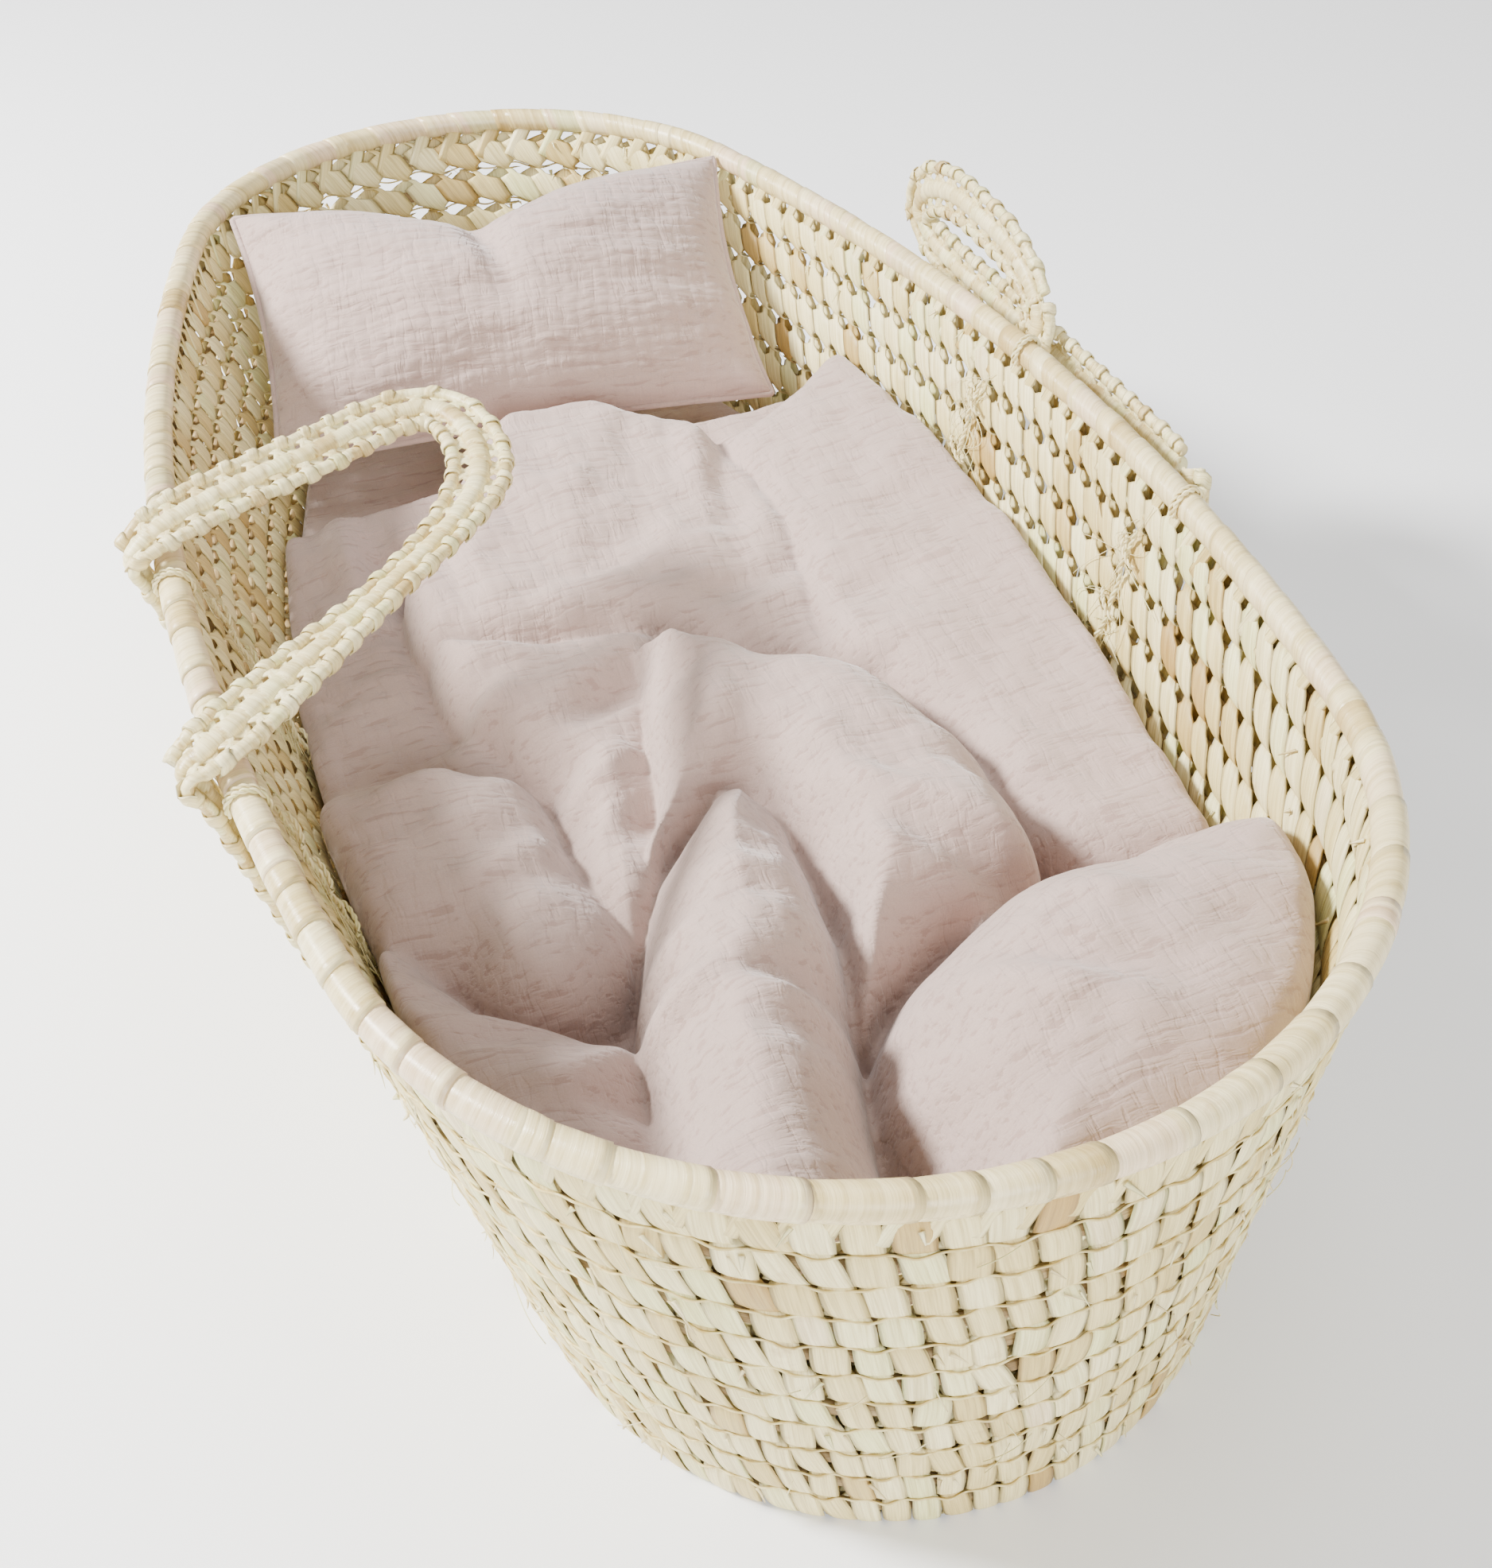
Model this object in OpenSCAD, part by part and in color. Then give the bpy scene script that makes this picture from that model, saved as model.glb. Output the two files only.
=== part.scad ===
// Moses basket of sewn palm-leaf coils, with two rope-edged carrying straps,
// a mattress, a quilt and a pillow.
// Origin: on the floor under the middle of the base. +Y points to the head end,
// +X to the right-hand side and +Z up. All sizes are in millimetres.

/* [Basket] */
// Overall length over the rim
basket_length = 812; // [680:2:980]
// Overall width over the rim
basket_width = 412; // [372:2:500]
// Height of the rim's centre line above the floor
rim_height = 202; // [168:1:245]
// How much tighter the foot end's curve is than half the width
foot_end_tuck = 14; // [6:1:40]
// How much tighter the head end's curve is than half the width
head_end_tuck = 46; // [20:1:60]
// How far each wall leans in between the rim and the floor
wall_lean = 54; // [40:1:60]
// How far the rim stands toward the head over the base
rim_offset = 40; // [0:1:48]

/* [Coils] */
// Thickness of a wall course
course_thickness = 9; // [6:0.5:11]
// Width of the flat seam where two courses meet
seam_width = 4.4; // [2:0.2:5.5]
// Thickness of the base coils
base_thickness = 9; // [6:0.5:12]
// End radius of the base's centre panel
base_centre_radius = 27; // [12:1:40]
// Clear width left between the base coils and the lowest course
base_seat = 5; // [4.5:0.1:8]
// Diameter of the wrapped rim
rim_diameter = 12; // [10:0.5:16]
// Diameter of the cane inside the rim
rim_core_diameter = 7; // [4:0.5:8.5]

/* [Handles] */
// Diameter of a strap's middle cord
strap_core_diameter = 8; // [6:0.5:9]
// Diameter of a strap's two edge cords
strap_edge_diameter = 5; // [4:0.5:6]
// Distance from the middle cord's centre line to an edge cord's
strap_cord_spacing = 11; // [10:0.5:13]
// Thickness of the openwork plait between the cords
plait_thickness = 2.4; // [1.6:0.2:4]
// How far each hinge line stands outside the rim's centre line
hinge_stand_off = 12; // [11.5:0.5:15]
// How far the left strap's hinge line stands above the rim's centre line
left_hinge_rise = 8; // [8:0.5:12]
// How far the right strap's hinge line stands above the rim's centre line
right_hinge_rise = 3; // [2:0.5:12]
// Middle of the left strap's two legs, along the basket
left_strap_y = -31; // [-60:1:0]
// Middle of the right strap's two legs, along the basket
right_strap_y = 16; // [-30:1:40]
// Height of the sewn legs' lower ends
leg_bottom = 46; // [30:1:90]
// Gap between the left hinge line and the tops of the sewn legs below it
left_leg_gap = 10; // [9:0.5:14]
// Gap between the right hinge line and the tops of the sewn legs below it
right_leg_gap = 13; // [12:0.5:16]
// Thickness of the sewing twine
twine_diameter = 2.2; // [1.4:0.2:2.6]

/* [Bedding] */
// Thickness of the mattress
mattress_thickness = 45; // [25:1:55]
// Gap between the mattress and the lowest course
mattress_gap = 4; // [3:0.5:10]
// Height of the quilt's general level above the floor
quilt_level = 112; // [104:1:125]
// Length of the pillow, across the basket
pillow_length = 262; // [210:2:266]
// Depth of the pillow, along its slope
pillow_depth = 144; // [110:2:150]
// Thickness of the pillow at its middle
pillow_thickness = 84; // [50:2:90]
// How far the pillow leans back from level, in degrees
pillow_lean = 35; // [15:1:40]
// Thickness of the muslin covers
cover_thickness = 1.6; // [1:0.2:3]

/* [Hidden] */
COURSES = 11;
BASE_COILS = 4;

$fn = 96;
clearance = 0.4;
ring_slim = 0.04;
ring_overlap = 1;

straw = [0.86, 0.80, 0.62];
pale_straw = [0.92, 0.88, 0.72];
cane = [0.74, 0.62, 0.42];
twine = [0.90, 0.84, 0.66];
muslin = [0.80, 0.74, 0.72];
stuffing = [0.95, 0.94, 0.92];

// ---- plan of the rim: four tangent arcs, all on the rim's centre line ----
rim_radius = rim_diameter / 2;
half_length = basket_length / 2 - rim_radius;
half_width = basket_width / 2 - rim_radius;
foot_radius = half_width - foot_end_tuck;
head_radius = half_width - head_end_tuck;
foot_y = foot_radius - half_length;
head_y = half_length - head_radius;

// The side arcs touch both end arcs and pass the full half width.
side_a = head_end_tuck - foot_end_tuck;
side_b = 2 * (foot_end_tuck * head_y - head_end_tuck * foot_y);
side_c = head_end_tuck * pow(foot_y, 2) - foot_end_tuck * pow(head_y, 2)
    + foot_end_tuck * head_end_tuck * side_a;
side_y = -2 * side_c / (side_b + sqrt(pow(side_b, 2) - 4 * side_a * side_c));
side_x = (pow(side_y - foot_y, 2) - pow(foot_end_tuck, 2)) / (2 * foot_end_tuck);
side_radius = half_width + side_x;
foot_angle = atan2(foot_y - side_y, side_x);
head_angle = atan2(head_y - side_y, side_x);

// Each arc is [centre x, centre y, radius, first angle, last angle].
ARCS = [
    [0, foot_y, foot_radius, -180 - foot_angle, foot_angle],
    [-side_x, side_y, side_radius, foot_angle, head_angle],
    [0, head_y, head_radius, head_angle, 180 - head_angle],
    [side_x, side_y, side_radius, 180 - head_angle, 180 - foot_angle]
];

// Inset of the wall's middle surface from the rim's plan, and its shift, at a height.
function inset_at(z) = wall_lean * (1 - z / rim_height);
function shift_at(z) = rim_offset * z / rim_height;

// Points along the plan as [centre x, centre y, radius, angle]; ends on each end arc
// and sides on each side arc.
function stations(ends, sides) = [
    for (k = [0 : 3], i = [0 : (k % 2 == 0 ? ends : sides) - 1])
    let(arc = ARCS[k], part = i / (k % 2 == 0 ? ends : sides))
    [arc[0], arc[1], arc[2], arc[3] + (arc[4] - arc[3]) * part]
];
function plan_point(s, inset, shift) = [
    s[0] + (s[2] - inset) * cos(s[3]),
    s[1] + (s[2] - inset) * sin(s[3]) + shift
];
function outline(inset, shift) = [for (s = stations(16, 14)) plan_point(s, inset, shift)];

// Half width of the wall's middle surface at a place along the basket and a height.
function wall_x(y, z) = sqrt(
    pow(side_radius - inset_at(z), 2) - pow(y - shift_at(z) - side_y, 2)
) - side_x;

// A ring of the given section around the plan; the section's x is outward from the rim line.
// The side arcs are a hair slimmer and run a little way into the end arcs.
module ring(shift) {
    translate([0, shift, 0])
    for (k = [0 : 3]) {
        arc = ARCS[k];
        $slim = k % 2 == 1 ? ring_slim : 0;
        reach = k % 2 == 1 ? asin(ring_overlap / arc[2]) : 0;
        translate([arc[0], arc[1], 0])
        rotate(arc[3] - reach)
        rotate_extrude(angle = arc[4] - arc[3] + 2 * reach)
        translate([arc[2], 0])
        children();
    }
}

// ---- base ----
coil_outer = wall_lean + base_seat;
coil_width = (head_radius - coil_outer - base_centre_radius) / BASE_COILS;

module base_coil(index) {
    edge = -coil_outer - (index - 1) * coil_width;
    function across(t) = edge - coil_width * t;
    color(straw)
    ring(0)
    polygon([
        [across(0) - $slim, $slim],
        [across(0) - $slim, base_thickness * 0.7 - $slim],
        [across(0.2), base_thickness * 0.95 - $slim],
        [across(0.5), base_thickness - $slim],
        [across(0.8), base_thickness * 0.95 - $slim],
        [across(1) + $slim, base_thickness * 0.7 - $slim],
        [across(1) + $slim, $slim]
    ]);
}

module base_centre() {
    color(straw)
    linear_extrude(base_thickness)
    polygon(outline(head_radius - base_centre_radius + 0.1, 0));
}

// ---- wall ----
wall_top = rim_height - rim_radius;
course_height = wall_top / COURSES;

module wall_course(index) {
    low = (index - 1) * course_height;
    high = index * course_height;
    seam = seam_width / 2;
    bulge = course_thickness / 2;
    function mid(t) = -inset_at(low + (high - low) * t);
    function level(t) = low + (high - low) * t;
    color(straw)
    ring(shift_at((low + high) / 2))
    polygon([
        [mid(0) + seam - $slim, low + $slim],
        [mid(0.22) + bulge * 0.86 - $slim, level(0.22)],
        [mid(0.5) + bulge - $slim, level(0.5)],
        [mid(0.78) + bulge * 0.86 - $slim, level(0.78)],
        [mid(1) + seam - $slim, high - $slim],
        [mid(1) - seam + $slim, high - $slim],
        [mid(0.78) - bulge * 0.86 + $slim, level(0.78)],
        [mid(0.5) - bulge + $slim, level(0.5)],
        [mid(0.22) - bulge * 0.86 + $slim, level(0.22)],
        [mid(0) - seam + $slim, low + $slim]
    ]);
}

// ---- rim ----
// The wrapping's section is a ring of flats, as broad leaf strips lie on the cane.
rim_flats = 20;
function rim_circle(radius) = [
    for (k = [0 : rim_flats - 1])
    [radius * cos(360 * k / rim_flats), rim_height + radius * sin(360 * k / rim_flats)]
];

module rim_core() {
    $fn = 64;
    color(cane)
    ring(shift_at(rim_height))
    polygon(rim_circle(rim_core_diameter / 2 - $slim));
}

module rim_wrap() {
    $fn = 64;
    color(pale_straw)
    ring(shift_at(rim_height))
    polygon(
        concat(
            rim_circle(rim_radius - $slim),
            rim_circle(rim_core_diameter / 2 + 0.1 + $slim)
        ),
        [[for (k = [0 : rim_flats - 1]) k], [for (k = [0 : rim_flats - 1]) rim_flats + k]]
    );
}

// ---- strap legs sewn down the outside of the wall ----
hinge_x = half_width + hinge_stand_off;
left_hinge_z = rim_height + left_hinge_rise;
right_hinge_z = rim_height + right_hinge_rise;
left_leg_top = left_hinge_z - left_leg_gap;
right_leg_top = right_hinge_z - right_leg_gap;
core_radius = strap_core_diameter / 2;
edge_radius = strap_edge_diameter / 2;
web_start = core_radius + 0.3;
web_end = strap_cord_spacing - edge_radius - 0.3;
strap_half_width = strap_cord_spacing + edge_radius;

function leg_top_x(y) = max(
    wall_x(y - strap_half_width, rim_height),
    wall_x(y + strap_half_width, rim_height)
) + rim_radius + clearance + core_radius;
function leg_bottom_x(y) =
    wall_x(y, leg_bottom) + course_thickness / 2 + clearance + core_radius + 1.5;

// A straight length of strap along +Z: a middle cord, two edge cords and the plait.
module straight_strap(length) {
    cylinder(r = core_radius, h = length);
    for (side = [-1, 1]) {
        translate([0, side * strap_cord_spacing, 0])
        cylinder(r = edge_radius, h = length);
        translate([-plait_thickness / 2, side > 0 ? web_start : -web_end, 0])
        cube([plait_thickness, web_end - web_start, length]);
    }
}

module leg(y, top) {
    run = leg_top_x(y) - leg_bottom_x(y);
    rise = top - leg_bottom;
    color(pale_straw)
    translate([leg_bottom_x(y), y, leg_bottom])
    rotate([0, atan2(run, rise), 0])
    straight_strap(norm([run, rise]));
}

module left_leg(y) {
    mirror([1, 0, 0]) leg(y, left_leg_top);
}

module right_leg(y) {
    leg(y, right_leg_top);
}

// ---- twine ----
twine_radius = twine_diameter / 2;
lacing_low = 62;
lacing_high = 182;
lacing_steps = 5;

function lacing_point(y, z) = [
    wall_x(y, z) - course_thickness / 2 - clearance - 0.6 - twine_radius,
    y,
    z
];

module rod_between(a, b, radius) {
    v = b - a;
    translate(a)
    rotate([0, acos(v[2] / norm(v)), atan2(v[1], v[0])])
    cylinder(r = radius, h = norm(v));
}

// One running line of twine inside the wall behind a leg, with short cross stitches over it.
module right_lacing(y) {
    color(twine) {
        rod_between(lacing_point(y, lacing_low), lacing_point(y, lacing_high), twine_radius);
        for (i = [0 : lacing_steps - 1]) {
            z = lacing_low + 10 + (lacing_high - lacing_low - 20) * i / (lacing_steps - 1);
            over = [-twine_diameter - clearance, 0, 0];
            rod_between(
                lacing_point(y - 7, z - 4) + over,
                lacing_point(y + 7, z + 4) + over,
                twine_radius
            );
        }
    }
}

// A turn of twine around the rim, open below where the top course meets it.
module right_rim_tie(y) {
    turn_radius = rim_radius + clearance + twine_radius;
    opening = 62;
    color(twine)
    translate([wall_x(y, rim_height), y, rim_height])
    rotate(atan2(y - shift_at(rim_height) - side_y, side_x + half_width))
    rotate([90, 0, 0])
    rotate(opening - 90)
    rotate_extrude(angle = 360 - 2 * opening)
    translate([turn_radius, 0])
    circle(r = twine_radius);
}

// ---- carrying straps ----
// Control points, each [inward from the hinge line, along from the strap's middle,
// up from the hinge line, then the direction across the strap and its spread].
LEFT_PATH = [
    [0, 71, 0, 0, 1, 0, 1],
    [18, 79, 7, -0.2, 1, 0.1, 1.1],
    [49, 94, 8, -0.4, 0.9, 0.1, 1.15],
    [83, 110, 7, -0.4, 0.9, 0.1, 1.15],
    [117, 128, 6, -0.3, 1, 0.1, 1.1],
    [139, 127, 5, 0.5, 0.8, 0.1, 1],
    [147, 101, 4, 1, 0.2, 0, 1],
    [141, 67, 4, 0.9, -0.3, 0, 1],
    [119, 33, 5, 0.7, -0.5, 0.2, 0.9],
    [84, -3, 6, 0.6, -0.6, 0.3, 0.9],
    [48, -36, 7, 0.6, -0.8, 0.2, 1.1],
    [18, -62, 6, 0.3, -1, 0, 1.1],
    [0, -71, 0, 0, -1, 0, 1]
];
RIGHT_PATH = [
    [0, 64, 0, 0, -1, 0, 1],
    [-1, 68, 9, 0, -1, 0.4, 1],
    [-1, 80, 18, 0, -0.8, 0.7, 1],
    [-1, 101, 25, 0, -0.3, 1, 1],
    [-1, 130, 27, 0, 0, 1, 1],
    [-1, 160, 26, 0, 0.3, 1, 1],
    [-1, 186, 18, 0, 0.7, 0.8, 1],
    [-2, 200, 3, 0, 1, 0, 1],
    [-4, 188, -9, 0, 0.7, -0.8, 1],
    [-6, 160, -14, 0, 0.1, -1, 1],
    [-8, 120, -15, 0, 0, -1, 1],
    [-9, 64, -15, 0, 0, -1, 1],
    [-9, 20, -15, 0, 0, -1, 1],
    [-9, -10, -14, 0, 0, -1, 0.95],
    [-9, -36, -11, 0, 0.1, -1, 0.85],
    [-8, -55, -5, 0, 0.3, -1, 0.75],
    [-3, -70, 2, 0, 0.8, -0.6, 0.65]
];
STEPS = 3;

function spline(a, b, c, d, t) = 0.5 * (
    2 * b + (c - a) * t + (2 * a - 5 * b + 4 * c - d) * t * t
    + (3 * b - a - 3 * c + d) * t * t * t
);
function smooth(points) = let(last = len(points) - 1) concat(
    [
        for (i = [0 : last - 1], k = [0 : STEPS - 1])
        spline(
            points[max(i - 1, 0)], points[i], points[i + 1],
            points[min(i + 2, last)], k / STEPS
        )
    ],
    [points[last]]
);
function unit(v) = v / norm(v);

// Frames along a strap as [centre, across times spread, normal].
function frames(path, side, y) = let(
    rows = smooth(path),
    spots = [
        for (r = rows)
        [side * (hinge_x - r[0]), y + r[1], (side < 0 ? left_hinge_z : right_hinge_z) + r[2]]
    ],
    last = len(rows) - 1
) [
    for (i = [0 : last])
    let(
        along = unit(spots[min(i + 1, last)] - spots[max(i - 1, 0)]),
        raw = [side * -rows[i][3], rows[i][4], rows[i][5]],
        across = unit(raw - (raw * along) * along)
    )
    [spots[i], across * rows[i][6], cross(along, across), across]
];

// A tube along the frames, offset across the strap.
module cord(track, offset, radius, sides) {
    rings = len(track);
    points = [
        for (f = track, k = [0 : sides - 1])
        f[0] + f[1] * offset
            + radius * (cos(360 * k / sides) * f[3] + sin(360 * k / sides) * f[2])
    ];
    loft(points, rings, sides);
}

// A thin web between two offsets across the strap, left out where the cords are drawn together.
module web(track, from, to) {
    open = [for (f = track) if (norm(f[1]) > 0.87) f];
    rings = len(open);
    points = [
        for (f = open, k = [[to, 1], [from, 1], [from, -1], [to, -1]])
        f[0] + f[1] * k[0] + f[2] * k[1] * plait_thickness / 2
    ];
    loft(points, rings, 4);
}

// A closed tube from rings of points, each ring with the same number of sides.
module loft(points, rings, sides) {
    walls = [
        for (i = [0 : rings - 2], k = [0 : sides - 1], half = [0, 1])
        let(
            a = i * sides + k,
            b = i * sides + (k + 1) % sides
        )
        half == 0 ? [a, b, b + sides] : [a, b + sides, a + sides]
    ];
    first = [for (k = [sides - 1 : -1 : 0]) k];
    last = [for (k = [0 : sides - 1]) (rings - 1) * sides + k];
    polyhedron(points, concat(walls, [first, last]), convexity = 10);
}

module strap_core(path, side, y) {
    color(pale_straw)
    cord(frames(path, side, y), 0, core_radius, 8);
}

module strap_edges(path, side, y) {
    color(pale_straw)
    for (edge = [-1, 1])
    cord(frames(path, side, y), edge * strap_cord_spacing, edge_radius, 6);
}

module strap_plait(path, side, y) {
    color(straw)
    for (edge = [-1, 1])
    web(
        frames(path, side, y),
        edge > 0 ? web_start + 0.6 : -web_end + 0.6,
        edge > 0 ? web_end - 0.6 : -web_start - 0.6
    );
}

// ---- mattress ----
mattress_bottom = base_thickness + clearance;
mattress_top = mattress_bottom + mattress_thickness;
mattress_inset = inset_at(mattress_bottom) + course_thickness / 2 + mattress_gap;
mattress_shift = shift_at(mattress_bottom);

module mattress_block(shrink) {
    translate([0, 0, mattress_bottom + shrink])
    linear_extrude(mattress_thickness - 2 * shrink)
    polygon(outline(mattress_inset + shrink, mattress_shift));
}

module mattress_cover() {
    color(muslin)
    difference() {
        mattress_block(0);
        mattress_block(cover_thickness);
    }
}

module mattress_foam() {
    color(stuffing)
    mattress_block(cover_thickness + 0.3);
}

// ---- quilt ----
// Lumps and hollows of the quilt's top: [x, y, reach across, reach along, height].
QUILT_LUMPS = [
    [0, 205, 60, 40, 30],
    [-150, 200, 40, 40, 30],
    [152, 172, 30, 48, 54],
    [-20, 15, 90, 34, 30],
    [90, -60, 50, 40, 22],
    [-20, -105, 36, 44, 42],
    [-110, -110, 40, 50, -8],
    [-70, -290, 62, 80, 62],
    [75, -250, 60, 74, 56],
    [8, -225, 14, 70, -56],
    [150, -20, 26, 80, -30]
];
quilt_bottom = mattress_top + clearance;
quilt_head = 208;
quilt_tail = 318;
quilt_rings = [1, 0.9, 0.78, 0.66, 0.54, 0.42, 0.3, 0.19, 0.09];

function lump(l, x, y) =
    l[4] * exp(-pow((x - l[0]) / l[2], 2) - pow((y - l[1]) / l[3], 2));
function lumps(x, y, i = 0) =
    i < len(QUILT_LUMPS) ? lump(QUILT_LUMPS[i], x, y) + lumps(x, y, i + 1) : 0;
// Past the head edge the quilt's tail lies low, under the pillow.
function quilt_z(x, y) =
    y > quilt_head ? quilt_level - 24 : quilt_level + lumps(x, y);
function quilt_inset(z) = inset_at(z) + course_thickness / 2 + 7;
function trimmed(p) = [p[0], min(p[1], quilt_tail)];

module quilt() {
    places = stations(8, 15);
    count = len(places);
    // Edge of the top, a little below the surface just inside it.
    edge_z = [
        for (s = places)
        let(p = plan_point(s, quilt_inset(quilt_level), shift_at(quilt_level)))
        max(quilt_bottom + 16, quilt_z(p[0] * 0.95, p[1] * 0.95) - 26)
    ];
    low = [
        for (s = places)
        trimmed(plan_point(s, quilt_inset(quilt_bottom), shift_at(quilt_bottom)))
    ];
    high = [
        for (i = [0 : count - 1])
        trimmed(plan_point(places[i], quilt_inset(edge_z[i]), shift_at(edge_z[i])))
    ];
    middle = [0, shift_at(quilt_level) - 20];
    points = concat(
        [for (p = low) [p[0], p[1], quilt_bottom]],
        [
            for (r = quilt_rings, i = [0 : count - 1])
            let(
                p = middle + (high[i] - middle) * r,
                z = r == 1 ? edge_z[i] : quilt_z(p[0], p[1])
            )
            [p[0], p[1], z]
        ],
        [[middle[0], middle[1], quilt_z(middle[0], middle[1])]]
    );
    rings = len(quilt_rings) + 1;
    apex = rings * count;
    walls = [
        for (r = [0 : rings - 2], i = [0 : count - 1], half = [0, 1])
        let(
            a = r * count + i,
            b = r * count + (i + 1) % count
        )
        half == 0 ? [a, b + count, b] : [a, a + count, b + count]
    ];
    crown = [
        for (i = [0 : count - 1])
        [(rings - 1) * count + i, apex, (rings - 1) * count + (i + 1) % count]
    ];
    floor_face = [[for (i = [0 : count - 1]) i]];
    color(muslin)
    polyhedron(points, concat(walls, crown, floor_face), convexity = 10);
}

// ---- pillow ----
pillow_centre = [3, 282, 162];
pillow_turn = -6;
pillow_grid = 12;
seam_half = 1.8;

// Half thickness over the pillow, with u and v from -1 to 1 across it.
function crown_at(u, v) =
    pow(max(0, 1 - pow(abs(u), 2.4)), 0.62) * pow(max(0, 1 - pow(abs(v), 2.4)), 0.62);

module pillow_block(shrink) {
    half_long = pillow_length / 2 - shrink;
    half_deep = pillow_depth / 2 - shrink;
    half_thick = pillow_thickness / 2 - shrink;
    rim_half = max(0.4, seam_half - shrink / 2);
    n = pillow_grid;
    function place(i, j, face) = let(
        u = 2 * i / n - 1,
        v = 2 * j / n - 1
    ) [
        half_long * u * (1 - 0.05 * (1 - v * v)),
        half_deep * v * (1 - 0.07 * (1 - u * u)),
        face * (rim_half + (half_thick - rim_half) * crown_at(u, v))
    ];
    points = [for (face = [1, -1], i = [0 : n], j = [0 : n]) place(i, j, face)];
    function at(face, i, j) = face * (n + 1) * (n + 1) + i * (n + 1) + j;
    top = [
        for (i = [0 : n - 1], j = [0 : n - 1], half = [0, 1])
        half == 0
            ? [at(0, i, j), at(0, i + 1, j + 1), at(0, i + 1, j)]
            : [at(0, i, j), at(0, i, j + 1), at(0, i + 1, j + 1)]
    ];
    bottom = [
        for (i = [0 : n - 1], j = [0 : n - 1], half = [0, 1])
        half == 0
            ? [at(1, i, j), at(1, i + 1, j), at(1, i + 1, j + 1)]
            : [at(1, i, j), at(1, i + 1, j + 1), at(1, i, j + 1)]
    ];
    sides = [
        for (k = [0 : n - 1], edge = [0 : 3], half = [0, 1])
        let(
            a = edge == 0 ? [k, 0] : edge == 1 ? [n, k] : edge == 2 ? [n - k, n] : [0, n - k],
            b = edge == 0 ? [k + 1, 0] : edge == 1 ? [n, k + 1]
                : edge == 2 ? [n - k - 1, n] : [0, n - k - 1]
        )
        half == 0
            ? [at(0, a[0], a[1]), at(0, b[0], b[1]), at(1, b[0], b[1])]
            : [at(0, a[0], a[1]), at(1, b[0], b[1]), at(1, a[0], a[1])]
    ];
    translate(pillow_centre)
    rotate(pillow_turn)
    rotate([pillow_lean, 0, 0])
    polyhedron(points, concat(top, bottom, sides), convexity = 10);
}

module pillow_cover() {
    color(muslin)
    difference() {
        pillow_block(0);
        pillow_block(cover_thickness);
    }
}

module pillow_filling() {
    color(stuffing)
    pillow_block(cover_thickness + 0.3);
}

// ---- strap ends and leg places, shared by the legs, the twine and the straps ----
left_back_y = left_strap_y + LEFT_PATH[0][1];
left_front_y = left_strap_y + LEFT_PATH[len(LEFT_PATH) - 1][1];
right_back_y = right_strap_y + RIGHT_PATH[0][1];
right_front_y = right_strap_y + RIGHT_PATH[len(RIGHT_PATH) - 1][1] - 7;
tie_gap = strap_half_width + twine_diameter + 2;

for (i = [1 : BASE_COILS])
    base_coil(i);
for (i = [1 : COURSES])
    wall_course(i);
base_centre();
rim_core();
rim_wrap();
left_leg(left_front_y);  // left_front_leg
left_leg(left_back_y);  // left_back_leg
right_leg(right_front_y);  // right_front_leg
right_leg(right_back_y);  // right_back_leg
union() {  // left_leg_lacing
    mirror([1, 0, 0]) right_lacing(left_front_y);
    mirror([1, 0, 0]) right_lacing(left_back_y);
}
union() {  // right_leg_lacing
    right_lacing(right_front_y);
    right_lacing(right_back_y);
}
union() {  // left_rim_ties
    mirror([1, 0, 0]) right_rim_tie(left_front_y - tie_gap);
    mirror([1, 0, 0]) right_rim_tie(left_back_y - tie_gap);
}
union() {  // right_rim_ties
    right_rim_tie(right_front_y - tie_gap);
    right_rim_tie(right_back_y - tie_gap);
}
strap_core(LEFT_PATH, -1, left_strap_y);  // left_strap_core
strap_edges(LEFT_PATH, -1, left_strap_y);  // left_strap_edges
strap_plait(LEFT_PATH, -1, left_strap_y);  // left_strap_plait
strap_core(RIGHT_PATH, 1, right_strap_y);  // right_strap_core
strap_edges(RIGHT_PATH, 1, right_strap_y);  // right_strap_edges
strap_plait(RIGHT_PATH, 1, right_strap_y);  // right_strap_plait
mattress_cover();
mattress_foam();
quilt();
pillow_cover();
pillow_filling();
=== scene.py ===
import math

import bpy
import numpy as np
from mathutils import Matrix, Vector


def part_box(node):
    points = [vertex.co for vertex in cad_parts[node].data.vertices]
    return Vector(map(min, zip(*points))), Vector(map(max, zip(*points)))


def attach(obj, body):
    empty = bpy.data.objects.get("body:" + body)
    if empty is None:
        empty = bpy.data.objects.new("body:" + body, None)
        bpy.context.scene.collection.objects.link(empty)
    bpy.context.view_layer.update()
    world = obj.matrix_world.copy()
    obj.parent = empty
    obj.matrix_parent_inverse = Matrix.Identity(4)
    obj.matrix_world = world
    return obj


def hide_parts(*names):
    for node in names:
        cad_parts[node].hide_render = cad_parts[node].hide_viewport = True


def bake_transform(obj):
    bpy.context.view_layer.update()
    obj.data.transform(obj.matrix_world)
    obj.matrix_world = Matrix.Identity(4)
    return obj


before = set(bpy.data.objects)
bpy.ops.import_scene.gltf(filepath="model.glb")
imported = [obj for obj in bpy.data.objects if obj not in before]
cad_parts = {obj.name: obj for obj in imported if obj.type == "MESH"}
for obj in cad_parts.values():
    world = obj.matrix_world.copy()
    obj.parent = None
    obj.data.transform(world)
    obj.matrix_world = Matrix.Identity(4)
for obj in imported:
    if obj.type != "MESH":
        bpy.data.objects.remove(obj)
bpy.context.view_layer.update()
MM = 0.001
RNG = np.random.default_rng(7)


# ---------------------------------------------------------------- materials
def material(name):
    mat = bpy.data.materials.new(name)
    mat.use_nodes = True
    tree = mat.node_tree
    return mat, tree, tree.nodes["Principled BSDF"]


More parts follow.
